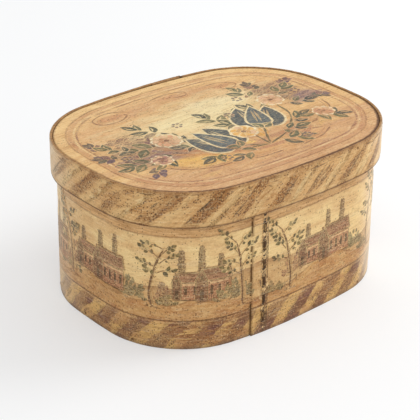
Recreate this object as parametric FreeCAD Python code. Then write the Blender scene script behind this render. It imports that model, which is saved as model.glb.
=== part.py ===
"""Oval bentwood box with a lift-off lid, in millimetres, +Z up.

The box stands on the plane z = 0 with its origin under the middle of the oval. X runs along the
length, and the laced seam of the box faces -Y. Each wall is one thin strip of wood, bent round the
oval until its ends overlap. The ends are planed thin where they lap and are laced together with a
split root that runs in and out through slots. A flat board closes the foot of the box and another
closes the top of the lid, and wooden pegs driven in through the strips hold both boards.
"""
import FreeCAD, Part
import math
import os

# Oval of the lid, outside: two long sides and two ends that bulge a little, and four round corners
LID_LENGTH = 380.0
LID_WIDTH = 291.0
SIDE_BULGE_RADIUS = 780.0
END_BULGE_RADIUS = 745.0
CORNER_RADIUS = 112.0

# Heights
BOX_BAND_HEIGHT = 184.0
LID_BAND_HEIGHT = 42.0
BOTTOM_BOARD_THICKNESS = 9.0
LID_BOARD_THICKNESS = 7.0
LID_BOARD_RECESS = 1.0

# Thicknesses and clearances of the bent strips
BOX_BAND_THICKNESS = 3.2
LID_BAND_THICKNESS = 3.2
LID_RUNNING_GAP = 0.6
BOARD_GAP = 0.25
BOARD_EDGE_CHAMFER = 0.8

# Lapped seam of each strip: the outer end lies over the inner end, and both are planed thin
BOX_SEAM_LEFT_OF_MIDDLE = 68.0
LID_SEAM_LEFT_OF_MIDDLE = 60.0
LAP_LENGTH = 45.0
LAP_RAMP = 50.0
OUTER_END_THICKNESS = 1.6
INNER_END_THICKNESS = 1.1
LAP_GAP = 0.3

# Root lacing
LACE_SETBACK = 16.0
LACE_WIDTH = 4.4
LACE_THICKNESS = 1.3
LACE_GAP = 0.15
LACE_TAIL = 4.0
LACE_END_MARGIN = 2.0
BOX_STITCH_LENGTH = 11.0
LID_STITCH_LENGTH = 7.0

# Pegs
PEG_RADIUS = 1.5
PEG_DEPTH_IN_BOARD = 13.0
PEG_TIP_LENGTH = 2.5
PEG_TIP_RADIUS = 0.9
PEG_HEAD_PROUD = 0.3
PEG_FIT_GAP = 0.04
PEG_BORE_SPARE = 0.6
PEG_SPACING = 78.0
LID_PEG_START = 2.0

# What follows from the sizes above
HALF_LENGTH = LID_LENGTH / 2
HALF_WIDTH = LID_WIDTH / 2
TIP_RISE = OUTER_END_THICKNESS + LAP_GAP
COVER_RISE = INNER_END_THICKNESS + LAP_GAP
LACE_PROUD = LACE_GAP + LACE_THICKNESS
LID_FIT_GAP = max(TIP_RISE, LACE_PROUD) + LID_RUNNING_GAP
BOX_INSET = LID_BAND_THICKNESS + LID_FIT_GAP
LID_BOARD_UNDERSIDE = BOX_BAND_HEIGHT
LID_TOP = LID_BOARD_UNDERSIDE + LID_BOARD_THICKNESS + LID_BOARD_RECESS
LID_FOOT = LID_TOP - LID_BAND_HEIGHT


def oval_arcs():
    """The lid's outline as arcs (centre x, centre y, radius, start angle, sweep), anticlockwise
    from the middle of the front side."""
    end_x = HALF_LENGTH - END_BULGE_RADIUS
    side_y = HALF_WIDTH - SIDE_BULGE_RADIUS
    # The corner's centre is as far inside the end arc as inside the side arc
    from_end = END_BULGE_RADIUS - CORNER_RADIUS
    from_side = SIDE_BULGE_RADIUS - CORNER_RADIUS
    apart = math.hypot(end_x, side_y)
    along = (from_end ** 2 - from_side ** 2 + apart ** 2) / (2 * apart)
    across = math.sqrt(from_end ** 2 - along ** 2)
    ux, uy = -end_x / apart, side_y / apart
    corner_x = end_x + ux * along - uy * across
    corner_y = uy * along + ux * across
    end_angle = math.atan2(corner_y, corner_x - end_x)
    side_angle = math.atan2(corner_y - side_y, corner_x)
    corner_sweep = side_angle - end_angle
    half_side = math.pi / 2 - side_angle
    arcs = [(0.0, -side_y, SIDE_BULGE_RADIUS, -math.pi / 2, half_side)]
    arcs.append((corner_x, -corner_y, CORNER_RADIUS, -side_angle, corner_sweep))
    arcs.append((end_x, 0.0, END_BULGE_RADIUS, -end_angle, 2 * end_angle))
    arcs.append((corner_x, corner_y, CORNER_RADIUS, end_angle, corner_sweep))
    arcs.append((0.0, side_y, SIDE_BULGE_RADIUS, side_angle, 2 * half_side))
    arcs.append((-corner_x, corner_y, CORNER_RADIUS, math.pi - side_angle, corner_sweep))
    arcs.append((-end_x, 0.0, END_BULGE_RADIUS, math.pi - end_angle, 2 * end_angle))
    arcs.append((-corner_x, -corner_y, CORNER_RADIUS, math.pi + end_angle, corner_sweep))
    arcs.append((0.0, -side_y, SIDE_BULGE_RADIUS, math.pi + side_angle, half_side))
    return arcs


ARCS = oval_arcs()
ARC_LENGTHS = [radius * sweep for _, _, radius, _, sweep in ARCS]
ARC_STARTS = [sum(ARC_LENGTHS[:index]) for index in range(len(ARCS))]
GIRTH = sum(ARC_LENGTHS)
BOX_SEAM = -BOX_SEAM_LEFT_OF_MIDDLE
LID_SEAM = GIRTH / 2 - LID_SEAM_LEFT_OF_MIDDLE


def place(way, inset):
    """Point at a way round the outline and an inset from it, with the outward direction there."""
    way_in_turn = way % GIRTH
    index = max(index for index, start in enumerate(ARC_STARTS) if start <= way_in_turn)
    cx, cy, radius, start_angle, _ = ARCS[index]
    angle = start_angle + (way_in_turn - ARC_STARTS[index]) / radius
    outward = FreeCAD.Vector(math.cos(angle), math.sin(angle), 0)
    return FreeCAD.Vector(cx, cy, 0) + outward * (radius - inset), outward


def joints_between(way_from, way_to):
    """Ways between two others at which one arc of the outline meets the next."""
    turns = range(math.floor(way_from / GIRTH), math.floor(way_to / GIRTH) + 1)
    joints = [turn * GIRTH + start for turn in turns for start in ARC_STARTS]
    return [way for way in joints if way_from + 1e-6 < way < way_to - 1e-6]


def run(way_from, way_to, inset_from, inset_to):
    """Edges along the outline between two ways, while the inset changes evenly."""
    ways = [way_from] + joints_between(way_from, way_to) + [way_to]

    def inset(way):
        return inset_from + (inset_to - inset_from) * (way - way_from) / (way_to - way_from)

    edges = []
    for first, last in zip(ways, ways[1:]):
        middle = (first + last) / 2
        points = [place(way, inset(way))[0] for way in (first, middle, last)]
        edges.append(Part.Arc(*points).toShape())
    return edges


def outer_rise(past_seam):
    """How far a lapped strip's outer face stands out of its own outline, past the seam."""
    past = past_seam % GIRTH
    if past < LAP_LENGTH:
        return TIP_RISE + (COVER_RISE - TIP_RISE) * past / LAP_LENGTH
    if past < LAP_LENGTH + LAP_RAMP:
        return COVER_RISE * (1 - (past - LAP_LENGTH) / LAP_RAMP)
    return 0.0


def lapped_band(outline_inset, thickness, seam, foot, height):
    """A strip bent round the outline, its outer end lying over its inner end past the seam."""
    outside = outline_inset
    inside = outline_inset + thickness
    lap_end = seam + LAP_LENGTH
    ramp_end = lap_end + LAP_RAMP
    full_turn = seam + GIRTH
    tucked_end = full_turn + LAP_LENGTH
    tucked_face = inside - INNER_END_THICKNESS
    # Outer face from the seam all the way round, then on over the inner end
    edges = run(seam, lap_end, outside - TIP_RISE, outside - COVER_RISE)
    edges += run(lap_end, ramp_end, outside - COVER_RISE, outside)
    edges += run(ramp_end, full_turn, outside, outside)
    edges += run(full_turn, tucked_end, outside, tucked_face)
    # Inner face from the seam all the way round
    edges += run(seam, lap_end, outside - LAP_GAP, inside - COVER_RISE)
    edges += run(lap_end, ramp_end, inside - COVER_RISE, inside)
    edges += run(ramp_end, tucked_end, inside, inside)
    # The two ends
    edges.append(Part.makeLine(place(seam, outside - TIP_RISE)[0], place(seam, outside - LAP_GAP)[0]))
    edges.append(Part.makeLine(place(tucked_end, tucked_face)[0], place(tucked_end, inside)[0]))
    profile = Part.Face(Part.Wire(Part.__sortEdges__(edges)))
    band = profile.extrude(FreeCAD.Vector(0, 0, height))
    band.translate(FreeCAD.Vector(0, 0, foot))
    return band


def oval_board(inset, thickness, underside):
    """A board cut to the oval, with its upper edge taken off."""
    profile = Part.Face(Part.Wire(run(0, GIRTH, inset, inset)))
    board = profile.extrude(FreeCAD.Vector(0, 0, thickness))
    upper = [e for e in board.Edges if all(abs(v.Z - thickness) < 1e-6 for v in e.Vertexes)]
    board = board.makeChamfer(BOARD_EDGE_CHAMFER, upper)
    board.translate(FreeCAD.Vector(0, 0, underside))
    return board


def hole_heights(lowest, highest, stitch):
    """Heights of the lacing's slots, an even number of them, a stitch apart from the lowest up."""
    pairs = int((highest - lowest + stitch) / (2 * stitch))
    return [lowest + index * stitch for index in range(2 * pairs)]


def rounded_path(corners, radius):
    """An open path along XZ points, with each square corner rounded to the radius."""
    edges = []
    start = corners[0]
    for before, corner, after in zip(corners, corners[1:], corners[2:]):
        back = (before - corner).normalize()
        ahead = (after - corner).normalize()
        middle = corner + (back + ahead) * radius * (1 - math.sqrt(0.5))
        edges.append(Part.makeLine(start, corner + back * radius))
        edges.append(Part.Arc(corner + back * radius, middle, corner + ahead * radius).toShape())
        start = corner + ahead * radius
    edges.append(Part.makeLine(start, corners[-1]))
    return Part.Wire(edges)


def set_square(shape, way):
    """Turns a shape drawn with +X inwards and stands it on the lid's outline at a way."""
    foot, outward = place(way, 0)
    turn = math.degrees(math.atan2(-outward.y, -outward.x))
    shape.rotate(FreeCAD.Vector(), FreeCAD.Vector(0, 0, 1), turn)
    shape.translate(foot)
    return shape


def lacing(outer_inset, inner_inset, heights, way):
    """One root that runs in and out through the slots, with both its tails left inside."""
    bend = LACE_GAP + LACE_THICKNESS / 2
    outer = outer_inset - bend
    inner = inner_inset + bend
    corners = [FreeCAD.Vector(inner, 0, heights[0] - LACE_TAIL)]
    for lower, upper in zip(heights[::2], heights[1::2]):
        corners.append(FreeCAD.Vector(inner, 0, lower))
        corners.append(FreeCAD.Vector(outer, 0, lower))
        corners.append(FreeCAD.Vector(outer, 0, upper))
        corners.append(FreeCAD.Vector(inner, 0, upper))
    corners.append(FreeCAD.Vector(inner, 0, heights[-1] + LACE_TAIL))
    outline = rounded_path(corners, bend).makeOffset2D(LACE_THICKNESS / 2, 0, False, False, False)
    root = Part.Face(outline).extrude(FreeCAD.Vector(0, LACE_WIDTH, 0))
    root.translate(FreeCAD.Vector(0, -LACE_WIDTH / 2, 0))
    return set_square(root, way)


def lacing_slots(outer_inset, inner_inset, heights, way):
    """Slots through a lapped wall, with the lace's clearance all round."""
    tall = LACE_THICKNESS + 2 * LACE_GAP
    wide = LACE_WIDTH + 2 * LACE_GAP
    deep = inner_inset - outer_inset + 2 * LACE_PROUD
    slots = []
    for height in heights:
        corner = FreeCAD.Vector(outer_inset - LACE_PROUD, -wide / 2, height - tall / 2)
        slots.append(set_square(Part.makeBox(deep, wide, tall, corner), way))
    return slots


def peg_ways(first):
    """Ways of the pegs, evenly spaced round the oval from the first one."""
    count = round(GIRTH / PEG_SPACING)
    return [first + index * GIRTH / count for index in range(count)]


def peg(way, head_inset, tip_inset, height):
    """A round peg with a tapered tip, driven square to the wall."""
    shank_length = tip_inset - head_inset - PEG_TIP_LENGTH
    inwards = FreeCAD.Vector(1, 0, 0)
    head = FreeCAD.Vector(head_inset, 0, height)
    shank = Part.makeCylinder(PEG_RADIUS, shank_length, head, inwards)
    tip_start = head + inwards * shank_length
    tip = Part.makeCone(PEG_RADIUS, PEG_TIP_RADIUS, PEG_TIP_LENGTH, tip_start, inwards)
    return set_square(shank.fuse(tip).removeSplitter(), way)


def peg_bore(way, head_inset, tip_inset, height):
    """The hole that a peg is driven into, through the strip and into the board."""
    length = tip_inset - head_inset + PEG_BORE_SPARE + PEG_HEAD_PROUD
    start = FreeCAD.Vector(head_inset - PEG_HEAD_PROUD, 0, height)
    bore = Part.makeCylinder(PEG_RADIUS + PEG_FIT_GAP, length, start, FreeCAD.Vector(1, 0, 0))
    return set_square(bore, way)


def pegged(outline_inset, thickness, seam, ways, height):
    """Pegs and their bores at the given ways, from just proud of the strip into the board."""
    pegs, bores = [], []
    for way in ways:
        face = outline_inset - outer_rise(way - seam)
        head_inset = face - PEG_HEAD_PROUD
        tip_inset = outline_inset + thickness + BOARD_GAP + PEG_DEPTH_IN_BOARD
        pegs.append(peg(way, head_inset, tip_inset, height))
        bores.append(peg_bore(way, head_inset, tip_inset, height))
    return pegs, bores


def box_parts():
    """The lower half: its wall, lacing, floor board and pegs."""
    wall_inside = BOX_INSET + BOX_BAND_THICKNESS
    band = lapped_band(BOX_INSET, BOX_BAND_THICKNESS, BOX_SEAM, 0, BOX_BAND_HEIGHT)
    board = oval_board(wall_inside + BOARD_GAP, BOTTOM_BOARD_THICKNESS, 0)
    lace_way = BOX_SEAM + LACE_SETBACK
    lace_face = BOX_INSET - outer_rise(LACE_SETBACK)
    lowest = BOTTOM_BOARD_THICKNESS + LACE_END_MARGIN + LACE_TAIL
    highest = LID_FOOT - LACE_END_MARGIN - LACE_TAIL
    heights = hole_heights(lowest, highest, BOX_STITCH_LENGTH)
    root = lacing(lace_face, wall_inside, heights, lace_way)
    slots = lacing_slots(lace_face, wall_inside, heights, lace_way)
    ways = peg_ways(lace_way)
    pegs, bores = pegged(BOX_INSET, BOX_BAND_THICKNESS, BOX_SEAM, ways, BOTTOM_BOARD_THICKNESS / 2)
    return {
        "side_band": band.cut(slots + bores),
        "side_lacing": root,
        "bottom_board": board.cut(bores),
        "bottom_pegs": Part.makeCompound(pegs),
    }


def lid_parts():
    """The lid: its rim, lacing, top board and pegs."""
    rim_inside = LID_BAND_THICKNESS
    band = lapped_band(0, LID_BAND_THICKNESS, LID_SEAM, LID_FOOT, LID_BAND_HEIGHT)
    board = oval_board(rim_inside + BOARD_GAP, LID_BOARD_THICKNESS, LID_BOARD_UNDERSIDE)
    lace_way = LID_SEAM + LACE_SETBACK
    lace_face = -outer_rise(LACE_SETBACK)
    lowest = LID_FOOT + LACE_END_MARGIN + LACE_TAIL
    highest = LID_BOARD_UNDERSIDE - LACE_END_MARGIN - LACE_TAIL
    heights = hole_heights(lowest, highest, LID_STITCH_LENGTH)
    root = lacing(lace_face, rim_inside, heights, lace_way)
    slots = lacing_slots(lace_face, rim_inside, heights, lace_way)
    peg_height = LID_BOARD_UNDERSIDE + LID_BOARD_THICKNESS / 2
    ways = peg_ways(LID_PEG_START)
    pegs, bores = pegged(0, LID_BAND_THICKNESS, LID_SEAM, ways, peg_height)
    return {
        "lid_band": band.cut(slots + bores),
        "lid_lacing": root,
        "lid_board": board.cut(bores),
        "lid_pegs": Part.makeCompound(pegs),
    }


def main():
    os.makedirs("parts", exist_ok=True)
    for name, shape in {**box_parts(), **lid_parts()}.items():
        shape.exportStep(f"parts/{name}.step")
        box = shape.BoundBox
        print(f"{name}: {len(shape.Solids)} solid(s), valid {shape.isValid()}, "
              f"{shape.Volume / 1000:.1f} cm3, x {box.XMin:.2f} to {box.XMax:.2f}, "
              f"y {box.YMin:.2f} to {box.YMax:.2f}, z {box.ZMin:.2f} to {box.ZMax:.2f}")


main()
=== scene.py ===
"""Worn paint, bent wood, root lacing and pegs of an oval box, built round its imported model."""
import math
import random
from bisect import bisect_right
from functools import lru_cache

import bmesh
import bpy
from bpy.props import FloatProperty, FloatVectorProperty, PointerProperty
from mathutils import Matrix, Vector, noise


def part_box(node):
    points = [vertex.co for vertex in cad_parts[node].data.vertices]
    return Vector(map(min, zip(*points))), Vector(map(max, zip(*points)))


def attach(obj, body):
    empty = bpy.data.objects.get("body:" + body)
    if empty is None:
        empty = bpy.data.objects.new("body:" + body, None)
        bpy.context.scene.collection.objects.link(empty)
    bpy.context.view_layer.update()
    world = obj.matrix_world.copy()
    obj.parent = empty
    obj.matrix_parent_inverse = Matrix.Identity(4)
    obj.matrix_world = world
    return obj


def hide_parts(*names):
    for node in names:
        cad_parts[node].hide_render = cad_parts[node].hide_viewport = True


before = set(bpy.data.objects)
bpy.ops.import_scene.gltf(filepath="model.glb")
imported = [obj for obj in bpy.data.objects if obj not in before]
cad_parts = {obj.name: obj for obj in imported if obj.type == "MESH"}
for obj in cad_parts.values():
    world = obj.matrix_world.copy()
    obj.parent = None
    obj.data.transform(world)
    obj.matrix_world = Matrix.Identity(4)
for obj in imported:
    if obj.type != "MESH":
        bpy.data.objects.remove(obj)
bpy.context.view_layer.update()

bl_info = {
    "name": "Painted bentwood box",
    "version": (1, 0, 0),
    "blender": (4, 5, 0),
    "location": "3D View > Sidebar > Bentwood box",
    "description": "Dresses an oval bentwood box with paint, worn wood and root lacing",
    "category": "Object",
}

WALL_LOW, WALL_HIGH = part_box("side_band")
RIM_LOW, RIM_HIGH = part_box("lid_band")
TOP_LOW, TOP_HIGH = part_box("lid_board")
MM = 0.001

# Way round the lid, in millimetres, after which the ground's lines repeat
ROUND = 1129.8
# Way along the strip from one painted band to the next, in millimetres
FOOT_BAND = 43.4
RIM_BAND = 51.36
RIM_BANDS = 22
# How far the rim's bands run along it for each millimetre of height
RIM_SLANT = 1.05
# Height of the first stitch over the wall lacing's lower end, in millimetres
FIRST_STITCH = 4.65
# Point that the camera looks at
AIM = (-0.00647, 0.00552, 0.08119)


# Sizes and colours that a user would change

def length_setting(name, description, default):
    return FloatProperty(name=name, description=description, default=default, unit="LENGTH",
                         subtype="DISTANCE", precision=4)


def linear(colour):
    """The linear numbers that Blender stores, of a colour that may be written as six hex digits."""
    if not isinstance(colour, str):
        return tuple(colour)
    parts = [int(colour[index:index + 2], 16) / 255 for index in (0, 2, 4)]
    return tuple(c / 12.92 if c <= 0.04045 else ((c + 0.055) / 1.055) ** 2.4 for c in parts)


def colour_setting(name, description, hex_colour):
    return FloatVectorProperty(name=name, description=description, default=linear(hex_colour),
                               subtype="COLOR", min=0, max=1)


class OvalSizes(bpy.types.PropertyGroup):
    length: length_setting("Length", "Length of the lid's outline", RIM_HIGH.x - RIM_LOW.x)
    width: length_setting("Width", "Width of the lid's outline", -2 * RIM_LOW.y)
    side_bulge: length_setting("Side bulge", "Radius of the long sides", 0.78)
    end_bulge: length_setting("End bulge", "Radius of the ends", 0.745)
    corner: length_setting("Corner", "Radius of the four corners", 0.112)


class StripSizes(bpy.types.PropertyGroup):
    thickness: length_setting("Thickness", "Thickness of the bent strips", 0.0032)
    wall_inset: length_setting("Wall inset", "How far the wall stands inside the rim's outline", 0.0057)
    wall_seam: length_setting("Wall seam", "Way from mid front to the wall's outer end", -0.068)
    rim_seam: length_setting("Rim seam", "Way from mid back to the rim's outer end", -0.060)
    lap: length_setting("Lap", "How far the ends of a strip lap", 0.045)
    ramp: length_setting("Ramp", "Length over which the outer layer settles back", 0.050)
    outer_end: length_setting("Outer end", "Thickness that the outer end is planed to", 0.0016)
    inner_end: length_setting("Inner end", "Thickness that the inner end is planed to", 0.0011)
    lap_gap: length_setting("Lap gap", "Gap between the lapped ends", 0.0003)
    lean: length_setting("Lean", "How far the wall draws in under the lid", 0.0012)
    waviness: length_setting("Waviness", "Unevenness of the old strips", 0.0007)


class LaceSizes(bpy.types.PropertyGroup):
    setback: length_setting("Setback", "Way from a strip's outer end to its lacing", 0.016)
    width: length_setting("Width", "Width of the split root", 0.0042)
    thickness: length_setting("Thickness", "Thickness of the split root", 0.0013)
    wall_stitch: length_setting("Wall stitch", "Height between two slots of the wall", 0.011)
    rim_stitch: length_setting("Rim stitch", "Height between two slots of the rim", 0.007)


class PaintColours(bpy.types.PropertyGroup):
    sky: colour_setting("Sky", "Ground colour of the scenes on the wall", "cfa872")
    sky_pale: colour_setting("Pale sky", "Paler patches of that ground", "dfc087")
    ochre: colour_setting("Ochre", "Plain band under the lid", "b38658")
    hill: colour_setting("Hill", "Far hills", "b0824f")
    earth: colour_setting("Earth", "Near ground", "b07c48")
    ink: colour_setting("Ink", "Drawn lines and specks", "513722")
    top: colour_setting("Top", "Outer zone of the lid's top", "d6aa70")
    cream: colour_setting("Cream", "Middle of the lid's top", "e9d9a6")
    tan: colour_setting("Tan", "Clouded part of the lid's top", "d2a570")
    white: colour_setting("White", "Highlights", "f0e4c8")
    bare_wood: colour_setting("Bare wood", "Unpainted wood inside", "b08a5c")


class StudioSettings(bpy.types.PropertyGroup):
    azimuth: FloatProperty(name="Azimuth", description="Camera's turn about the box",
                           default=math.radians(-40.504), subtype="ANGLE")
    elevation: FloatProperty(name="Elevation", description="Camera's height angle",
                             default=math.radians(26.541), subtype="ANGLE")
    roll: FloatProperty(name="Roll", description="Camera's tilt to one side",
                        default=math.radians(-0.763), subtype="ANGLE")
    distance: length_setting("Distance", "Camera to the point it looks at", 1.66927)
    lens: FloatProperty(name="Lens", description="Focal length in millimetres", default=121.586)
    key_power: FloatProperty(name="Key light", description="Power of the large lamp", default=30.0,
                             unit="POWER")
    sky_power: FloatProperty(name="Room light", description="Strength of the even light", default=0.77)


class BoxSettings(bpy.types.PropertyGroup):
    oval: PointerProperty(type=OvalSizes)
    strip: PointerProperty(type=StripSizes)
    lace: PointerProperty(type=LaceSizes)
    paint: PointerProperty(type=PaintColours)
    studio: PointerProperty(type=StudioSettings)


# The oval, the strips bent round it, and the board in the lid

class Oval:
    """The lid's outline as arcs, measured anticlockwise from the middle of the front side."""

    def __init__(self, sizes):
        end_x = sizes.length / 2 - sizes.end_bulge
        side_y = sizes.width / 2 - sizes.side_bulge
        from_end = sizes.end_bulge - sizes.corner
        from_side = sizes.side_bulge - sizes.corner
        apart = math.hypot(end_x, side_y)
        along = (from_end ** 2 - from_side ** 2 + apart ** 2) / (2 * apart)
        across = math.sqrt(from_end ** 2 - along ** 2)
        corner_x = end_x + (-end_x * along - side_y * across) / apart
        corner_y = (side_y * along - end_x * across) / apart
        end_angle = math.atan2(corner_y, corner_x - end_x)
        side_angle = math.atan2(corner_y - side_y, corner_x)
        turn = side_angle - end_angle
        half = math.pi / 2 - side_angle
        side, end, corner = sizes.side_bulge, sizes.end_bulge, sizes.corner
        self.arcs = [
            (0.0, -side_y, side, -math.pi / 2, half),
            (corner_x, -corner_y, corner, -side_angle, turn),
            (end_x, 0.0, end, -end_angle, 2 * end_angle),
            (corner_x, corner_y, corner, end_angle, turn),
            (0.0, side_y, side, side_angle, 2 * half),
            (-corner_x, corner_y, corner, math.pi - side_angle, turn),
            (-end_x, 0.0, end, math.pi - end_angle, 2 * end_angle),
            (-corner_x, -corner_y, corner, math.pi + end_angle, turn),
            (0.0, -side_y, side, math.pi + side_angle, half),
        ]
        lengths = [radius * sweep for _, _, radius, _, sweep in self.arcs]
        self.starts = [sum(lengths[:index]) for index in range(len(lengths))]
        self.girth = sum(lengths)
        # Way of the middle of the first corner, where the lid board's grid begins
        self.first_corner = lengths[0] + lengths[1] / 2

    def at(self, way):
        """Point on the outline at a way round it, and the outward direction there."""
        way = way % self.girth
        index = bisect_right(self.starts, way) - 1
        x, y, radius, start_angle, _ = self.arcs[index]
        angle = start_angle + (way - self.starts[index]) / radius
        outward = Vector((math.cos(angle), math.sin(angle), 0))
        return Vector((x, y, 0)) + outward * radius, outward

    def inset_of(self, x, y):
        """How far a point lies inside the outline."""
        best = 1.0
        for cx, cy, radius, start_angle, sweep in self.arcs:
            past = (math.atan2(y - cy, x - cx) - start_angle) % math.tau
            if past <= sweep + 1e-4 or past >= math.tau - 1e-4:
                best = min(best, radius - math.hypot(x - cx, y - cy))
        return best


def mix_numbers(first, second, share):
    return first + (second - first) * share


def ease(value, low, high):
    """0 below low, 1 above high, with a soft change between them."""
    share = min(max((value - low) / (high - low), 0.0), 1.0)
    return share * share * (3 - 2 * share)


class Strip:
    """A strip bent round the oval. A place on it is its way past the seam, depth and height."""

    def __init__(self, settings, inset, seam, foot, height, lean):
        self.oval = Oval(settings.oval)
        self.sizes = settings.strip
        self.inset, self.seam, self.foot, self.height, self.lean = inset, seam, foot, height, lean
        self.length = self.oval.girth + self.sizes.lap
        self.cache = {}

    def outer_inset(self, along):
        sizes = self.sizes
        tip = -(sizes.outer_end + sizes.lap_gap)
        cover = -(sizes.inner_end + sizes.lap_gap)
        if along < sizes.lap:
            return mix_numbers(tip, cover, along / sizes.lap)
        if along < sizes.lap + sizes.ramp:
            return mix_numbers(cover, 0, ease(along, sizes.lap, sizes.lap + sizes.ramp))
        tucked = sizes.thickness - sizes.inner_end
        return tucked * max(along - self.oval.girth, 0) / sizes.lap

    def inner_inset(self, along):
        sizes = self.sizes
        cover = sizes.thickness - sizes.inner_end - sizes.lap_gap
        if along < sizes.lap:
            return mix_numbers(-sizes.lap_gap, cover, along / sizes.lap)
        return mix_numbers(cover, sizes.thickness, ease(along, sizes.lap, sizes.lap + sizes.ramp))

    def column(self, along):
        key = round(along, 7)
        if key not in self.cache:
            point, outward = self.oval.at(self.seam + along)
            self.cache[key] = (point, outward, self.outer_inset(along), self.inner_inset(along))
        return self.cache[key]

    def dent(self, point, height):
        """How far the old strip has warped inwards at a place."""
        sway = noise.noise(Vector((point.x * 9, point.y * 9, height * 7 + self.foot * 50)))
        ripple = noise.noise(Vector((point.x * 30, point.y * 30, height * 4 + 9)))
        hold = ease(height, 0.008, 0.03)
        drawn_in = self.lean * ease(height, 0, 0.8 * self.height)
        return self.sizes.waviness * hold * (sway + 0.35 * ripple) + drawn_in

    def place(self, along, depth, height):
        """Depth counts inwards from the outer face, and a negative one stands proud of it."""
        point, outward, outer, inner = self.column(along)
        share = min(max(depth / self.sizes.thickness, 0.0), 1.0)
        beyond = depth - share * self.sizes.thickness
        inset = self.inset + mix_numbers(outer, inner, share) + beyond + self.dent(point, height)
        return point - outward * inset + Vector((0, 0, self.foot + height))


def wall_strip(settings):
    sizes = settings.strip
    return Strip(settings, sizes.wall_inset, sizes.wall_seam, WALL_LOW.z,
                 WALL_HIGH.z - WALL_LOW.z, sizes.lean)


def rim_strip(settings):
    sizes = settings.strip
    seam = Oval(settings.oval).girth / 2 + sizes.rim_seam
    return Strip(settings, 0.0, seam, RIM_LOW.z, RIM_HIGH.z - RIM_LOW.z, 0.0)


# What is painted where: silhouettes on the wall and washes on the top

# Farmsteads stand on mounds: way past the wall's seam, width and rise, in millimetres
MOUNDS = [(112, 72, 20), (214, 40, 9), (300, 76, 16), (408, 48, 18), (520, 70, 14), (640, 66, 20),
          (742, 48, 11), (838, 58, 16), (934, 70, 20), (1006, 34, 8), (1070, 60, 17)]


@lru_cache(maxsize=None)
def near_ground_line(along):
    """Height of the near ground's edge, in millimetres, at a way past the wall's seam."""
    way = (along * 1000) % ROUND
    rise = sum(lift * math.exp(-((way - middle) / width * 1.7) ** 2) for middle, width, lift in MOUNDS)
    return 49 + rise + 1.6 * noise.noise(Vector((way / 17, 4.3, 0)))


@lru_cache(maxsize=None)
def far_hill_line(along):
    """Height of the far hills' crest, in millimetres."""
    way = along * 1000
    roll = math.sin(way / ROUND * math.tau * 5 + 0.6) * 8
    swell = math.sin(way / ROUND * math.tau * 3 + 2.1) * 7
    return 79 + roll + swell + 5 * noise.noise(Vector((way / 31, 0.3, 0)))


class Wash:
    """A soft oval pool of thinned paint on the lid's top, in millimetres."""

    def __init__(self, x, y, reach_x, reach_y, turn, colour, strength, softness=0.5):
        self.x, self.y, self.reach_x, self.reach_y = x, y, reach_x, reach_y
        self.turn = math.radians(turn)
        self.colour, self.strength, self.softness = linear(colour), strength, softness

    def share(self, x, y):
        dx, dy = x - self.x, y - self.y
        across = dx * math.cos(self.turn) + dy * math.sin(self.turn)
        up = -dx * math.sin(self.turn) + dy * math.cos(self.turn)
        wobble = 0.22 * noise.noise(Vector((x / 22, y / 14, self.x)))
        far = math.hypot(across / self.reach_x, up / self.reach_y) + wobble
        return self.strength * (1 - ease(far, 1 - self.softness, 1))


def top_washes(paint):
    return [
        Wash(0, 40, 185, 90, 2, paint.tan, 0.65, 0.4),
        Wash(-78, 86, 70, 20, 8, "c69266", 0.55, 0.8),
        Wash(34, 94, 88, 18, -4, "c28e64", 0.52, 0.8),
        Wash(-132, 52, 26, 40, 12, "cf9c70", 0.35),
        Wash(-6, 34, 156, 52, 4, paint.cream, 0.80, 0.8),
        Wash(36, 52, 74, 24, -2, "e6d6a8", 0.70, 0.8),
        Wash(-10, -18, 110, 34, 0, "e0c998", 0.80, 0.5),
        Wash(-106, -10, 62, 44, -8, "a07d60", 0.70, 0.6),
        Wash(-112, -34, 54, 20, -6, "8b625a", 0.60, 0.6),
        Wash(0, -88, 120, 26, 0, "cb9965", 0.75, 0.5),
        Wash(-78, -66, 50, 18, -18, "e0b05c", 0.70),
        Wash(118, 30, 44, 44, 10, "a5805e", 0.70, 0.6),
        Wash(140, 2, 34, 18, 20, "846670", 0.65, 0.6),
        Wash(96, -50, 58, 24, 24, "b98a5a", 0.65),
        Wash(30, -66, 62, 10, 2, "a2624a", 0.50),
        Wash(-48, -50, 46, 12, -34, "a96c48", 0.60),
    ]


# Materials

class Wire:
    """One socket of a material. Arithmetic on it adds Math nodes."""

    def __init__(self, finish, socket):
        self.finish, self.socket = finish, socket

    def maths(self, operation, *others):
        values = dict(enumerate((self,) + others))
        return self.finish.node("ShaderNodeMath", {"operation": operation}, values)

    def __add__(self, other):
        return self.maths("ADD", other)

    def __sub__(self, other):
        return self.maths("SUBTRACT", other)

    def __rsub__(self, other):
        return self.finish.node("ShaderNodeMath", {"operation": "SUBTRACT"}, {0: other, 1: self})

    def __mul__(self, other):
        return self.maths("MULTIPLY", other)

    def __truediv__(self, other):
        return self.maths("DIVIDE", other)

    def __mod__(self, other):
        return self.maths("FLOORED_MODULO", other)

    __radd__ = __add__
    __rmul__ = __mul__

    def size(self):
        return self.maths("ABSOLUTE")

    def least(self, other):
        return self.maths("MINIMUM", other)

    def most(self, other):
        return self.maths("MAXIMUM", other)

    def ease(self, low, high):
        """0 at low and 1 at high, also where high is less than low."""
        settings = {"interpolation_type": "SMOOTHSTEP", "clamp": True}
        if low < high:
            return self.finish.node("ShaderNodeMapRange", settings, {0: self, 1: low, 2: high})
        return 1 - self.finish.node("ShaderNodeMapRange", settings, {0: self, 1: high, 2: low})


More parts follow.
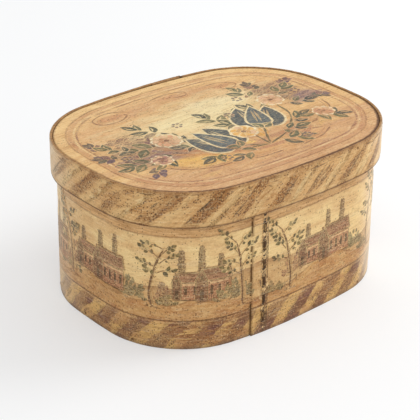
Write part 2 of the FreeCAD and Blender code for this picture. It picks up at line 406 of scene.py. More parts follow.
class Finish:
    """A material under construction."""

    def __init__(self, name):
        self.material = bpy.data.materials.new(name)
        self.material.use_nodes = True
        self.tree = self.material.node_tree
        self.tree.nodes.clear()

    def node(self, kind, settings=None, values=None, output=0):
        node = self.tree.nodes.new(kind)
        for name, value in (settings or {}).items():
            setattr(node, name, value)
        for name, value in (values or {}).items():
            if isinstance(value, Wire):
                self.tree.links.new(value.socket, node.inputs[name])
            else:
                node.inputs[name].default_value = value
        return Wire(self, node.outputs[output]) if node.outputs else None

    def attribute(self, name, output="Fac"):
        return self.node("ShaderNodeAttribute", {"attribute_name": name}, output=output)

    def in_millimetres(self, place):
        """The first two numbers of a place in metres."""
        split = self.node("ShaderNodeSeparateXYZ", values={0: place}).socket.node
        return Wire(self, split.outputs[0]) * 1000, Wire(self, split.outputs[1]) * 1000

    def map_place(self):
        """The piece's own map, in millimetres."""
        return self.in_millimetres(self.node("ShaderNodeUVMap", {"uv_map": "flat"}))

    def object_place(self):
        """The place along and across the box, in millimetres."""
        return self.in_millimetres(self.node("ShaderNodeTexCoord", output=3))

    def vector(self, x, y, z=0.0):
        return self.node("ShaderNodeCombineXYZ", values={0: x, 1: y, 2: z})

    def noise(self, place, scale=1.0, detail=2.0, roughness=0.5):
        values = {"Vector": place, "Scale": scale, "Detail": detail, "Roughness": roughness}
        return self.node("ShaderNodeTexNoise", values=values)

    def cloud(self, across, up, long, high, seed, detail=4.0, roughness=0.5):
        """Noise whose blots have about this length and height in millimetres."""
        place = self.vector(across / long, up / high, seed)
        return self.noise(place, 1.0, detail, roughness)

    def blend(self, share, first, second, how="MIX"):
        settings = {"data_type": "RGBA", "blend_type": how, "clamp_factor": True}
        values = {0: share}
        for index, colour in ((6, first), (7, second)):
            values[index] = colour if isinstance(colour, Wire) else linear(colour) + (1.0,)
        return self.node("ShaderNodeMix", settings, values, output=2)

    def bump(self, height, distance, strength=1.0):
        values = {"Height": height, "Distance": distance, "Strength": strength}
        return self.node("ShaderNodeBump", values=values)

    def finish(self, colour, roughness, normal, coat=0.0):
        values = {"Base Color": colour, "Roughness": roughness, "Coat Weight": coat,
                  "Coat Roughness": 0.35, "IOR": 1.45, "Specular IOR Level": 0.28, "Normal": normal}
        shader = self.node("ShaderNodeBsdfPrincipled", values=values)
        self.node("ShaderNodeOutputMaterial", values={"Surface": shader})
        return self.material

    # Parts that several finishes share

    def varnished(self, colour, grain, fine, roughness, coat):
        """The end of a painted finish, with brush marks that can be felt."""
        height = grain * 0.5 + fine * 0.35 + self.attribute("cover") * 0.2
        return self.finish(colour, roughness + fine * 0.25, self.bump(height, 0.00035, 0.6), coat)

    def dots(self, across, up, spacing, radius, amount, seed=0.0):
        """Round dots of paint, on a share of the places that is given by the amount."""
        place = self.vector(across / spacing + seed, up / spacing)
        settings = {"voronoi_dimensions": "2D"}
        distance = self.node("ShaderNodeTexVoronoi", settings, {"Vector": place, "Scale": 1.0})
        colour = Wire(self, distance.socket.node.outputs[1])
        chance = self.node("ShaderNodeSeparateColor", values={0: colour})
        spread = distance - (chance - 0.5) * 0.12
        disc = spread.ease(radius / spacing, radius / spacing * 0.55)
        return disc * (chance + amount).ease(0.98, 1.02)

    def brush_streaks(self, across, up, long, wide, seed):
        return self.cloud(across, up, long, wide, seed, 4.0, 0.6)

    def mottled(self, colour, across, up, depth=1.0, dark="8a5f38", light="e4c993"):
        """Uneven thinned paint, blotched at the size of a fingertip and of a grain of rice."""
        patch = self.cloud(across, up, 19, 12, 31.0, 5.0, 0.65)
        blot = self.cloud(across, up, 4.2, 3.0, 33.0, 4.0, 0.7)
        level = patch * 0.55 + blot * 0.45 - 0.5
        colour = self.blend(level.ease(0.0, 0.15) * 0.50 * depth, colour, dark)
        return self.blend(level.ease(0.0, -0.15) * 0.42 * depth, colour, light)

    def painted_over(self, ground, across, up, paint):
        """Lays the strokes' own colour over the ground, thin and broken at their edges."""
        colour = self.attribute("paint", "Color")
        strength = self.attribute("paint", "Alpha")
        cover = self.attribute("cover")
        speck = self.attribute("speck")
        dry = self.cloud(across, up, 1.5, 1.2, 5.0, 3.0, 0.65)
        thin = self.cloud(across, up, 7, 4, 12.0, 4.0, 0.6)
        edge = (cover + (dry - 0.5) * 0.38).ease(0.20, 0.42)
        rubbed = self.brush_streaks(across, up, 22, 1.3, 16.0).ease(0.56, 0.68)
        share = (edge * strength * (0.68 + thin * 0.6)).least(1.0) * (1 - rubbed * 0.55)
        shaded = self.blend((thin - 0.42).ease(0, 0.25) * 0.38, colour, paint.ink)
        shaded = self.blend((0.46 - thin).ease(0, 0.2) * 0.22, shaded, "d9bd92")
        result = self.blend(share, ground, shaded)
        dark = self.dots(across, up, 2.3, 0.92, speck * 0.70) * edge * speck.ease(0.05, 0.3)
        result = self.blend(dark * 0.74, result, "4a2f1b")
        light = self.dots(across, up, 2.7, 0.80, speck * 0.34, 40.0) * edge * speck.ease(0.05, 0.3)
        return self.blend(light * 0.52, result, "cda978")

    def aged(self, colour, across, up, paint, dirt=1.0, painted_sheen=0.0):
        """Varnish, dirt, scratches and small losses over the paint, and where asked a painted sheen that
        makes the front-right and back-left corners paler.
        """
        cloud = self.cloud(across, up, 60, 45, 1.0)
        fine = self.cloud(across, up, 2.4, 1.8, 2.0, 4.0, 0.75)
        grain = self.brush_streaks(across, up, 22, 1.6, 6.0)
        colour = self.blend((cloud - 0.45) * 0.45 * dirt, colour, "a5763f", "MULTIPLY")
        colour = self.blend((grain - 0.5).ease(0.02, 0.2) * 0.15, colour, paint.ink)
        colour = self.blend((0.5 - grain).ease(0.03, 0.2) * 0.15, colour, paint.white)
        colour = self.blend((fine - 0.5).ease(0.02, 0.2) * 0.28, colour, paint.ink)
        colour = self.blend((0.5 - fine).ease(0.02, 0.2) * 0.30, colour, "efd8a6")
        dots = self.dots(across, up, 3.1, 0.75, 0.05 + (cloud - 0.44).most(0.0) * 0.8, 11.0)
        colour = self.blend(dots * 0.60 * dirt, colour, "4f3419")
        chips = self.dots(across, up, 3.7, 0.70, 0.10 + (0.6 - cloud).most(0.0) * 0.4, 23.0)
        colour = self.blend(chips * 0.30, colour, "e0c493")
        if painted_sheen:
            # Painted sheen: the front-right and back-left corners turn paler, as if lit at a grazing
            # angle, and less so under the strokes
            along_box, across_box = self.object_place()
            right = (along_box + (cloud - 0.5) * 50).ease(90, 165) * across_box.ease(-30, -90) * 1.12
            left = (along_box + (cloud - 0.5) * 30).ease(-130, -180) * across_box.ease(0, 100)
            pale = right.most(left * 0.85) * (1 - self.attribute("cover").least(1.0) * 0.60)
            colour = self.blend(pale * painted_sheen, colour, "efdfc4")
        warm = {"Saturation": 1.0, "Value": 1.13, "Color": colour}
        return self.node("ShaderNodeHueSaturation", values=warm), grain, fine

    def bare_wood(self, across, up, paint):
        """Old unpainted chip wood."""
        grain = self.brush_streaks(across, up, 55, 0.9, 20.0)
        broad = self.brush_streaks(across, up, 160, 9.0, 22.0)
        colour = self.blend(grain, paint.bare_wood, "8a6540")
        return self.blend((broad - 0.4) * 0.9, colour, "6f5236")


def wall_finish(paint):
    """Scenes on the wall: plain band, sky, hills, near ground, and slanting stripes at the foot."""
    make = Finish("wall_paint")
    across, up = make.map_place()
    shake = make.cloud(across, up, 6, 6, 0.0, 3.0, 0.6) - 0.5
    wide = make.cloud(across, up, 34, 16, 4.0) - 0.5
    broad = make.cloud(across, up, 120, 60, 14.0, 2.0) - 0.5
    streak = make.brush_streaks(across, up, 26, 2.2, 9.0)
    colour = make.blend((wide + broad + 0.5).ease(0.32, 0.70), paint.sky, paint.sky_pale)
    colour = make.blend((streak - 0.5).ease(0.0, 0.25) * 0.45, colour, paint.ochre)
    # Far hills, darkest along their crest
    below_far = make.attribute("far_hill") - up + shake * 3
    far = below_far.ease(0, 1.2)
    crest = below_far.ease(11, 0) * far
    colour = make.blend(far * 0.55, colour, paint.hill)
    colour = make.blend(crest * 0.50 * (streak + 0.35).least(1.0), colour, "7d5338")
    # Near ground in long strokes that follow its crest
    below_near = make.attribute("near_ground") - up + shake * 3.5
    near = below_near.ease(0, 1.5)
    tone = make.cloud(across, below_near, 30, 11, 14.0, 4.0, 0.55)
    soil = make.blend(tone.ease(0.36, 0.68), "bf935c", paint.earth)
    colour = make.blend(near * 0.92, colour, soil)
    rust = make.cloud(across, below_near, 45, 9, 17.0, 3.0)
    colour = make.blend(near * (rust - 0.45).ease(0, 0.2) * 0.45, colour, "a06a40")
    colour = make.blend(below_near.ease(4, 0) * near * 0.55, colour, "6d4729")
    colour = make.mottled(colour, across, up, 0.85)
    # Plain band under the lid, with a loose lower edge and a dark line
    band = (up + shake * 4 + wide * 3).ease(135, 137.5)
    plain = make.blend((streak - 0.40).ease(0, 0.22), "d0a46e", "b28552")
    plain = make.blend((wide + broad).ease(0.02, 0.2) * 0.5, plain, "96663b")
    colour = make.blend(band * 0.92, colour, plain)
    edge = (up + shake * 3 + wide * 3 - 136.5).size().ease(1.5, 0.3)
    colour = make.blend(edge * 0.42, colour, "6a4526")
    # Stripes at the foot, wide ones where the hand was free
    slant = (across - up * 0.95 + wide * 17 + broad * 16 + shake * 5) % FOOT_BAND
    bar = slant.ease(0, 1.6) * slant.ease(24.5, 22.5)
    worn = (broad * 1.4 + wide * 0.8).ease(-0.10, 0.14)
    dark = make.blend((broad - wide).ease(-0.1, 0.12), "7a5033", "74493b")
    light = make.blend((wide - broad).ease(-0.08, 0.12), "c89f5f", "b08251")
    light = make.blend((broad + streak - 0.5).ease(0.0, 0.2) * 0.45, light, "96704a")
    border = make.blend(bar * (1 - worn * 0.50), light, dark)
    border = make.blend(slant.ease(38, 42) * (1 - worn) * 0.5, border, "5d4029")
    border = make.blend((streak - 0.5).ease(0, 0.22) * 0.45, border, "c59c68")
    border = make.mottled(border, across, up, 0.9, "573620", "cfa873")
    in_border = (34.5 - up + shake * 1.6).ease(0, 0.8)
    colour = make.blend(in_border, colour, border)
    line = (up - 35.2 + shake * 1.8).size()
    colour = make.blend(line.ease(1.3, 0.4) * 0.78, colour, "59381f")
    under = (up - 32.6 + shake * 1.8).size()
    colour = make.blend(under.ease(1.5, 0.4) * 0.35, colour, "cda674")
    dots = make.dots(across, up, 2.5, 0.92, in_border * (0.16 + bar * 0.30) + near * 0.10)
    colour = make.blend(dots * 0.60, colour, "4c311d")
    colour = make.painted_over(colour, across, up, paint)
    # aged also lays a painted sheen on two corners of the wall
    colour, grain, fine = make.aged(colour, across, up, paint, painted_sheen=0.55)
    # Darker towards the foot, and rubbed wood at the edges
    colour = make.blend(up.ease(6, 0) * (fine + 0.2) * 0.8, colour, "6b5a4a")
    bare = make.attribute("bare")
    wood = make.bare_wood(across, up, paint)
    colour = make.blend((bare + (fine - 0.5) * 0.5).ease(0.25, 0.6), colour, wood)
    # Painted shade along the lap seam's crack
    seam = make.attribute("seam_shade")
    colour = make.blend(seam * (0.75 + shake), colour, "3a2415")
    return make.varnished(colour, grain, fine, 0.46, 0.05)


def rim_finish(paint):
    """Loose slanting bands round the lid's rim, stippled in dark brown over ochre."""
    make = Finish("rim_paint")
    across, up = make.map_place()
    shake = make.cloud(across, up, 5, 5, 0.0, 3.0, 0.6) - 0.5
    wide = make.cloud(across, up, 30, 18, 4.0) - 0.5
    broad = make.cloud(across, up, 130, 90, 14.0, 2.0) - 0.5
    streak = make.brush_streaks(across, up, 24, 2.0, 9.0)
    lean = across - up * RIM_SLANT
    press = make.cloud(lean, up, 60, 90, 27.0, 3.0)
    slant = (lean + wide * 13 + broad * 14 + shake * 6) % RIM_BAND
    brown = slant.ease(0, 4) * slant.ease(24, 18) * press.ease(0.36, 0.60)
    second = slant.ease(33, 35) * slant.ease(43, 40) * press.ease(0.62, 0.42)
    colour = make.blend((streak - 0.5).ease(-0.12, 0.2), "cca26b", "b88a54")
    pale = slant.ease(22, 27) * slant.ease(36, 32)
    colour = make.blend(pale * 0.45, colour, "d6b57e")
    tone = make.blend((streak + broad).ease(0.35, 0.65), "855528", "9c6c3a")
    colour = make.blend(brown * 0.90, colour, tone)
    colour = make.blend(second * 0.62, colour, "92713f")
    warm = (broad + wide * 0.6 + (up - 21) / 160).ease(0.0, 0.2)
    colour = make.blend(warm * 0.55, colour, "94602c")
    drag = make.cloud(lean + shake * 3, up + across * 0.5, 2.8, 30, 21.0, 3.0)
    colour = make.blend((drag - 0.5).ease(0.06, 0.22) * 0.45, colour, "65421f")
    colour = make.blend((0.5 - drag).ease(0.06, 0.2) * 0.30, colour, "dfc08a")
    colour = make.mottled(colour, across, up, 0.8)
    crowd = (0.04 + brown * 0.60 + second * 0.42 + warm * 0.22) * (wide + 0.62).ease(0.30, 0.70)
    dots = make.dots(across, up, 2.3, 0.95, crowd)
    colour = make.blend(dots * 0.78, colour, "482b12")
    light = make.dots(across, up, 2.4, 0.90, crowd * 0.55, 40.0)
    colour = make.blend(light * 0.60, colour, "cfaa74")
    colour = make.painted_over(colour, across, up, paint)
    # aged also lays a painted sheen on two corners of the rim
    colour, grain, fine = make.aged(colour, across, up, paint, painted_sheen=0.60)
    # A dark brown line at the lower edge that also serves as painted shade, a painted highlight strip
    # over it, and a rubbed upper edge
    line = (up - 1.3 + shake * 1.5).size()
    lit = (up - 5.0 + shake * 2.5).size()
    colour = make.blend(lit.ease(3.0, 0.6) * 0.30, colour, "d3ac74")
    colour = make.blend(line.ease(1.7, 0.3) * 0.70, colour, "553318")
    rubbed = (up + shake * 3.5).ease(38.5, 41.6)
    colour = make.blend(rubbed * 0.55 * (fine + 0.3), colour, "8e6238")
    bare = make.attribute("bare")
    wood = make.bare_wood(across, up, paint)
    edge = up.ease(41.2, 41.7)
    top_edge = make.blend((fine + shake * 0.5).ease(0.3, 0.7), "b98c58", "805a34")
    colour = make.blend((bare + (fine - 0.5) * 0.4).ease(0.0, 0.35) * edge, colour, top_edge)
    colour = make.blend(bare.ease(0.4, 0.7) * (1 - edge), colour, wood)
    # Painted shade along the lap seam's crack
    colour = make.blend(make.attribute("seam_shade") * 0.85, colour, "3a2415")
    return make.varnished(colour, grain, fine, 0.46, 0.05)


def top_finish(paint):
    """The lid's top: streaked ochre, a double frame line, and washes inside it."""
    make = Finish("top_paint")
    across, up = make.map_place()
    shake = make.cloud(across, up, 6, 6, 0.0, 3.0, 0.6) - 0.5
    wide = make.cloud(across, up, 60, 20, 4.0) - 0.5
    streak = make.brush_streaks(across + up * 0.1, up, 48, 2.4, 9.0)
    from_edge = make.attribute("from_edge") * 1000
    inset = from_edge + shake * 1.8
    colour = make.blend((streak - 0.42).ease(0, 0.2) * 0.6, paint.top, "e2bd82")
    colour = make.blend((0.5 - streak).ease(0, 0.16) * 0.50, colour, "c08a52")
    rosy = (wide - up / 260).ease(0.05, 0.35)
    colour = make.blend(rosy * 0.5, colour, "b98563")
    # Painted highlight: the board turns lighter towards the back
    colour = make.blend((up / 150 + wide).ease(0.35, 0.9) * 0.5, colour, "ecc98e")
    inner = inset.ease(28, 32)
    washes = make.attribute("wash", "Color")
    amount = make.attribute("wash", "Alpha")
    patchy = (amount * (0.95 + wide * 0.9 + (streak - 0.5) * 0.9)).least(1.0).most(0.0)
    colour = make.blend(inner * patchy, colour, washes)
    colour = make.mottled(colour, across, up, 0.75, "91643f", "efd9a8")
    inset = inset + wide * 3
    halo = (inset - 22.5).size().ease(5.5, 2.0) * (streak + 0.4).least(1.0)
    colour = make.blend(halo * 0.38, colour, "b47c55")
    line = (inset - 18.0).size().ease(1.5, 0.3) * streak.ease(0.40, 0.58)
    colour = make.blend(line * 0.55, colour, "8d5a38")
    second = (inset - 29.6).size().ease(1.7, 0.3) * streak.ease(0.62, 0.42)
    colour = make.blend(second * 0.65, colour, "8b563c")
    glint = (inset - 26.4).size().ease(1.7, 0.3) * streak.ease(0.42, 0.56)
    colour = make.blend(glint * 0.34, colour, "ebcd9a")
    colour = make.painted_over(colour, across, up, paint)
    colour, grain, fine = make.aged(colour, across, up, paint, 0.8)
    # Painted shade along the joint with the rim, darkest at the front
    front = (0 - up).ease(-20, 120)
    joint_shade = (from_edge + shake * 3.2 - front * 1.8).ease(6.2, 3.4)
    colour = make.blend(joint_shade * (0.5 + front * 0.45), colour, "5a3519")
    bare = make.attribute("bare")
    colour = make.blend(bare, colour, make.bare_wood(across, up, paint))
    return make.varnished(colour, grain, fine, 0.44, 0.08)


def board_finish(paint):
    """Bare floor board of the box, seen when the lid is off."""
    make = Finish("bare_board")
    across, up = make.object_place()
    colour = make.bare_wood(across, up, paint)
    fine = make.cloud(across, up, 3, 2, 2.0, 4.0, 0.7)
    stain = make.cloud(across, up, 90, 60, 7.0, 5.0, 0.6)
    rings = make.brush_streaks(across, up, 240, 5.0, 31.0)
    colour = make.blend((rings - 0.5).ease(0.02, 0.12) * 0.4, colour, "6b4a2c")
    colour = make.blend(stain.ease(0.5, 0.75) * 0.5, colour, "5c4530")
    return make.finish(colour, 0.66 + fine * 0.2, make.bump(fine + rings, 0.0004, 0.5))


def root_finish():
    """Split root, dark with age, with fibres along it."""
    make = Finish("split_root")
    across, up = make.map_place()
    fibre = make.cloud(across, up, 9, 0.45, 3.0, 4.0, 0.6)
    blotch = make.cloud(across, up, 6, 5, 8.0, 3.0)
    colour = make.blend(fibre.ease(0.35, 0.65), "281606", "5e3f20")
    colour = make.blend(blotch.ease(0.52, 0.66) * 0.60, colour, "bd9a64")
    return make.finish(colour, 0.6, make.bump(fibre, 0.0003, 0.7))


def peg_finish():
    """End grain of the small pegs."""
    make = Finish("peg_wood")
    place = make.node("ShaderNodeTexCoord", output=3)
    grain = make.noise(place, scale=900.0, detail=3.0)
    patch = make.noise(place, scale=55.0, detail=2.0)
    colour = make.blend(grain.ease(0.35, 0.65), "5c3f25", "8d6840")
    colour = make.blend(patch.ease(0.42, 0.55) * 0.7, colour, "ae8553")
    return make.finish(colour, 0.7, make.bump(grain, 0.0002, 0.6))


# Making and placing meshes

def make_piece(bm, name, material, body, replaces=()):
    """Turns a bmesh into an object that rides on a body of the box."""
    mesh = bpy.data.meshes.new(name)
    bm.to_mesh(mesh)
    bm.free()
    mesh.materials.append(material)
    mesh.shade_smooth()
    piece = bpy.data.objects.new(name, mesh)
    bpy.context.scene.collection.objects.link(piece)
    if replaces:
        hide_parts(*replaces)
    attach(piece, body)
    return piece


def flat_strip(length, thickness, heights, columns, round_over):
    """A straight strip: x along it, y through it and z up it, with rounded long edges."""
    bm = bmesh.new()
    bmesh.ops.create_cube(bm, size=1.0)
    bmesh.ops.translate(bm, verts=bm.verts, vec=(0.5, 0.5, 0.5))
    bmesh.ops.scale(bm, verts=bm.verts, vec=(length, thickness, heights[-1]))
    long_edges = [edge for edge in bm.edges if abs(edge.verts[0].co.x - edge.verts[1].co.x) > 0.1]
    bmesh.ops.bevel(bm, geom=long_edges, offset=round_over, offset_type="OFFSET", segments=3,
                    profile=0.5, affect="EDGES", material=-1)
    for height in heights[:-1]:
        everything = bm.verts[:] + bm.edges[:] + bm.faces[:]
        bmesh.ops.bisect_plane(bm, geom=everything, dist=1e-6, plane_co=(0, 0, height),
                               plane_no=(0, 0, 1))
    long_edges = [edge for edge in bm.edges if abs(edge.verts[0].co.x - edge.verts[1].co.x) > 0.1]
    bmesh.ops.subdivide_edges(bm, edges=long_edges, cuts=columns - 1, use_grid_fill=True)
    return bm


def add_flat_map(bm, places):
    """Keeps each vertex's place in the flat as the piece's own map, in metres."""
    bm.verts.index_update()
    layer = bm.loops.layers.uv.new("flat")
    for face in bm.faces:
        for loop in face.loops:
            loop[layer].uv = places[loop.vert.index]


def bend_strip(bm, strip, lines=()):
    """Bends a straight strip round the box, and notes what the paint needs to know."""
    add_flat_map(bm, [(vert.co.x, vert.co.z) for vert in bm.verts])
    bare = bm.verts.layers.float.new("bare")
    seam_shade = bm.verts.layers.float.new("seam_shade")
    line_layers = [(bm.verts.layers.float.new(name), line) for name, line in lines]
    thickness = strip.sizes.thickness
    girth = strip.oval.girth
    for vert in bm.verts:
        along, depth, height = vert.co
        vert[bare] = ease(depth / thickness, 0.15, 0.85)
        past = along - girth
        # Painted shade in the crack beside the outer end, and on the outer end's edge
        vert[seam_shade] = ease(past, -0.0018, -0.0004) * ease(past, 0.004, 0.002)
        if depth < 0.6 * thickness:
            vert[seam_shade] = max(vert[seam_shade], ease(along, 0.0007, 0) * 0.5)
        for layer, line in line_layers:
            vert[layer] = line(along)
        edge = max(ease(height, 0.004, 0), ease(height, strip.height - 0.004, strip.height))
        nick = noise.noise(Vector((along * 90, depth * 200, height * 3 + strip.foot * 20)))
        nick += noise.noise(Vector((along * 400, depth * 90, 7)))
        height -= math.copysign(edge * 0.00035 * max(nick, 0), height - strip.height / 2)
        if along < 1e-6:
            along += 0.0006 * noise.noise(Vector((0, height * 90, 1)))
        vert.co = strip.place(max(along, 0), depth, height)
    bmesh.ops.triangulate(bm, faces=[face for face in bm.faces if len(face.verts) > 4])


def spaced_heights(height, edge_rows, rows):
    """Row heights up a strip, closer together at its edges."""
    near = [row * MM for row in edge_rows]
    gap = (height - 2 * near[-1]) / rows
    middle = [near[-1] + gap * index for index in range(1, rows)]
    return near + middle + [height - row for row in reversed(near)] + [height]


def bend_rod(bm, path, across, section):
    """Bends an upright rod of height 1 along a path. Section gives half sizes at a share of it."""
    map_radius = 0.0015
    reach = [0.0]
    for first, second in zip(path, path[1:]):
        reach.append(reach[-1] + (second - first).length)
    places = []
    for vert in bm.verts:
        share = min(max(vert.co.z, 0.0), 1.0)
        target = share * reach[-1]
        index = max(i for i in range(len(reach) - 1) if reach[i] <= target + 1e-9)
        piece = (target - reach[index]) / (reach[index + 1] - reach[index])
        centre = path[index].lerp(path[index + 1], piece)
        ahead = (path[index + 1] - path[index]).normalized()
        if piece < 0.5 and index > 0:
            before = (path[index] - path[index - 1]).normalized()
            ahead = ahead * (0.5 + piece) + before * (0.5 - piece)
        elif piece >= 0.5 and index + 2 < len(path):
            after = (path[index + 2] - path[index + 1]).normalized()
            ahead = ahead * (1.5 - piece) + after * (piece - 0.5)
        side = across.cross(ahead).normalized()
        half_width, half_thickness = section(share)
        turn = math.atan2(vert.co.y, vert.co.x)
        places.append((target, turn * map_radius))
        rim = min(math.hypot(vert.co.x, vert.co.y), 1.0)
        vert.co = centre + across * (math.cos(turn) * half_width * rim)
        vert.co += side * (math.sin(turn) * half_thickness * rim)
    add_flat_map(bm, places)


# Paint strokes

class Painting:
    """Strokes laid in the flat, in millimetres, that are then wrapped onto a surface."""

    # Longest face of a stroke, and the cells in which overlapping strokes are looked for
    GRAIN = 3.0
    CELL = 10
    SHEET_STROKES = 50
    # In metres: the lowest stroke's height over the wood, and the films' thickness
    BASE = 0.00005
    FILM = 0.0004

    def __init__(self, below=None):
        self.laid = below.laid if below else {}
        self.sheets = []
        self.start_sheet()

    def start_sheet(self):
        """Strokes are made on small meshes, because adding to a large one is slow."""
        self.bm = bmesh.new()
        layers = self.bm.verts.layers
        self.paint = layers.float_color.new("paint")
        self.cover = layers.float.new("cover")
        self.speck = layers.float.new("speck")
        self.layer = layers.float.new("layer")
        self.strokes = 0

    def end_sheet(self):
        sheet = bpy.data.meshes.new("sheet")
        self.bm.to_mesh(sheet)
        self.bm.free()
        self.sheets.append(sheet)

    def next_layer(self, low, high):
        """One more than the layers of the strokes that lie under this one."""
        columns = range(int(low.x // self.CELL), int(high.x // self.CELL) + 1)
        rows = range(int(low.y // self.CELL), int(high.y // self.CELL) + 1)
        cells = [(x, y) for x in columns for y in rows]
        under = 0
        for cell in cells:
            for other_low, other_high, level in self.laid.get(cell, ()):
                apart = (other_low.x > high.x or other_high.x < low.x or other_low.y > high.y
                         or other_high.y < low.y)
                if not apart:
                    under = max(under, level)
        for cell in cells:
            self.laid.setdefault(cell, []).append((low, high, under + 1))
        return under + 1

    def stroke(self, points, width, shape, colour, strength=0.9, speck=0.0, steps=8, side_cover=0.0):
        """A stroke through points. Shape names how its width changes from start to end."""
        points = [Vector(point) for point in points]
        colour = linear(colour)
        reach = sum((second - first).length for first, second in zip(points, points[1:]))
        steps = max(steps, math.ceil(reach / self.GRAIN))
        sides = 2 * max(math.ceil(width / 2 / self.GRAIN), 1)
        path = smooth_path(points, steps)
        made = bmesh.ops.create_grid(self.bm, x_segments=steps, y_segments=sides, size=1.0)["verts"]
        for vert in made:
            side = vert.co.y
            index = round((vert.co.x + 1) / 2 * steps)
            share = index / steps
            ahead = path[min(index + 1, steps)] - path[max(index - 1, 0)]
            out = left_of(ahead).normalized()
            place = path[index] + out * side * width / 2 * stroke_width(shape, share)
            vert[self.paint] = (*colour, strength)
            ends = 1.0 if shape in ("even", "block") else min(1.0, 6 * min(share, 1 - share) + 0.35)
            vert[self.cover] = ends * (1 - abs(side) * (1 - side_cover))
            vert[self.speck] = speck
            vert.co = (place.x, place.y, 0)
        low = Vector((min(vert.co.x for vert in made), min(vert.co.y for vert in made)))
        high = Vector((max(vert.co.x for vert in made), max(vert.co.y for vert in made)))
        layer = self.next_layer(low, high)
        for vert in made:
            vert[self.layer] = layer
        self.strokes += 1
        if self.strokes == self.SHEET_STROKES:
            self.end_sheet()
            self.start_sheet()

    def ink(self, points, width, colour, strength=0.85, steps=10):
        self.stroke(points, width * 1.7, "line", colour, strength, steps=steps)

    def block(self, points, width, colour, strength=0.8, speck=0.0, steps=3):
        """A flat-ended patch, such as a wall or a roof."""
        self.stroke(points, width, "block", colour, strength, speck, steps, side_cover=0.42)

    def lay_on(self, surface, name, material, body, slot):
        """Wraps the strokes onto the surface as thin closed films of paint."""
        self.end_sheet()
        bm = bmesh.new()
        for sheet in self.sheets:
            bm.from_mesh(sheet)
            bpy.data.meshes.remove(sheet)
        layer = bm.verts.layers.float["layer"]
        add_flat_map(bm, [(vert.co.x * MM, vert.co.y * MM) for vert in bm.verts])
        ground = surface.ground_layers(bm)
        for vert in bm.verts:
            x, y = vert.co.x * MM, vert.co.y * MM
            surface.note_ground(vert, ground, x, y)
            vert.co = surface.place(x, y, self.BASE + vert[layer] * surface.layer_step)
        # Sharp borders, so that the paint is shaded flat to its edge
        for edge in bm.edges:
            edge.smooth = not edge.is_boundary
        piece = make_piece(bm, name, material, body)
        film = piece.modifiers.new("film", "SOLIDIFY")
        film.thickness = self.FILM
        film.offset = -1


def heading(angle):
    """The direction at an angle in the flat."""
    return Vector((math.cos(angle), math.sin(angle)))


def left_of(ahead):
    return Vector((-ahead.y, ahead.x))


def smooth_path(points, steps):
    """Places along a smooth line through the points."""
    if len(points) == 2:
        return [points[0].lerp(points[1], index / steps) for index in range(steps + 1)]
    padded = [points[0] * 2 - points[1]] + points + [points[-1] * 2 - points[-2]]
    path = []
    for index in range(steps + 1):
        at = index / steps * (len(points) - 1)
        first = min(int(at), len(points) - 2)
        t = at - first
        p0, p1, p2, p3 = padded[first:first + 4]
        path.append(0.5 * (2 * p1 + (p2 - p0) * t + (2 * p0 - 5 * p1 + 4 * p2 - p3) * t * t
                           + (3 * p1 - p0 - 3 * p2 + p3) * t ** 3))
    return path


def stroke_width(shape, share):
    """Width of a stroke of a shape, as a share of its greatest, along it."""
    if shape == "leaf":
        return max(math.sin(math.pi * share ** 0.9), 0.05)
    if shape == "cup":
        return max(math.sin(math.pi * share ** 0.8) ** 0.8 * (1 - 0.2 * share), 0.04)
    if shape == "petal":
        return max(math.sin(math.pi * share ** 1.5) ** 0.6, 0.05)
    if shape == "round":
        return max(math.sqrt(max(1 - (2 * share - 1) ** 2, 0)), 0.05)
    if shape == "taper":
        return 1 - 0.75 * share
    if shape == "line":
        return 0.75 + 0.25 * math.sin(share * 17)
    return 1.0


class StripSurface:
    """The outer face of a bent strip, as something to paint on."""

    layer_step = 0.000012
    # Paint stays this far from the strip's rounded edges, in metres
    margin = 0.0007

    def __init__(self, strip, lines=()):
        self.strip, self.lines = strip, lines

    def ground_layers(self, bm):
        return [(bm.verts.layers.float.new(name), line) for name, line in self.lines]

    def note_ground(self, vert, ground, x, y):
        for layer, line in ground:
            vert[layer] = line(x)

    def place(self, x, y, lift):
        along = x % self.strip.oval.girth
        height = min(max(y, self.margin), self.strip.height - self.margin)
        return self.strip.place(along, -lift, height)


class TopSurface:
    """The lid board's upper face, as something to paint on."""

    layer_step = 0.000003

    def __init__(self, oval, paint):
        self.oval, self.washes = oval, top_washes(paint)

    def ground_layers(self, bm):
        return bm.verts.layers.float.new("from_edge"), bm.verts.layers.float_color.new("wash")

    def note_ground(self, vert, ground, x, y):
        from_edge, wash = ground
        vert[from_edge] = self.oval.inset_of(x, y)
        vert[wash] = self.wash_at(x / MM, y / MM)

    def wash_at(self, x, y):
        """Colour and share of all the washes that lie over each other at a place."""
        red = green = blue = total = 0.0
        for wash in self.washes:
            share = wash.share(x, y)
            left = 1 - share
            red = red * left + wash.colour[0] * share
            green = green * left + wash.colour[1] * share
            blue = blue * left + wash.colour[2] * share
            total = total * left + share
        scale = 1 / max(total, 1e-3)
        return red * scale, green * scale, blue * scale, total

    def place(self, x, y, lift):
        return Vector((x, y, TOP_HIGH.z + lift))


WALL_LINES = (("far_hill", far_hill_line), ("near_ground", near_ground_line))


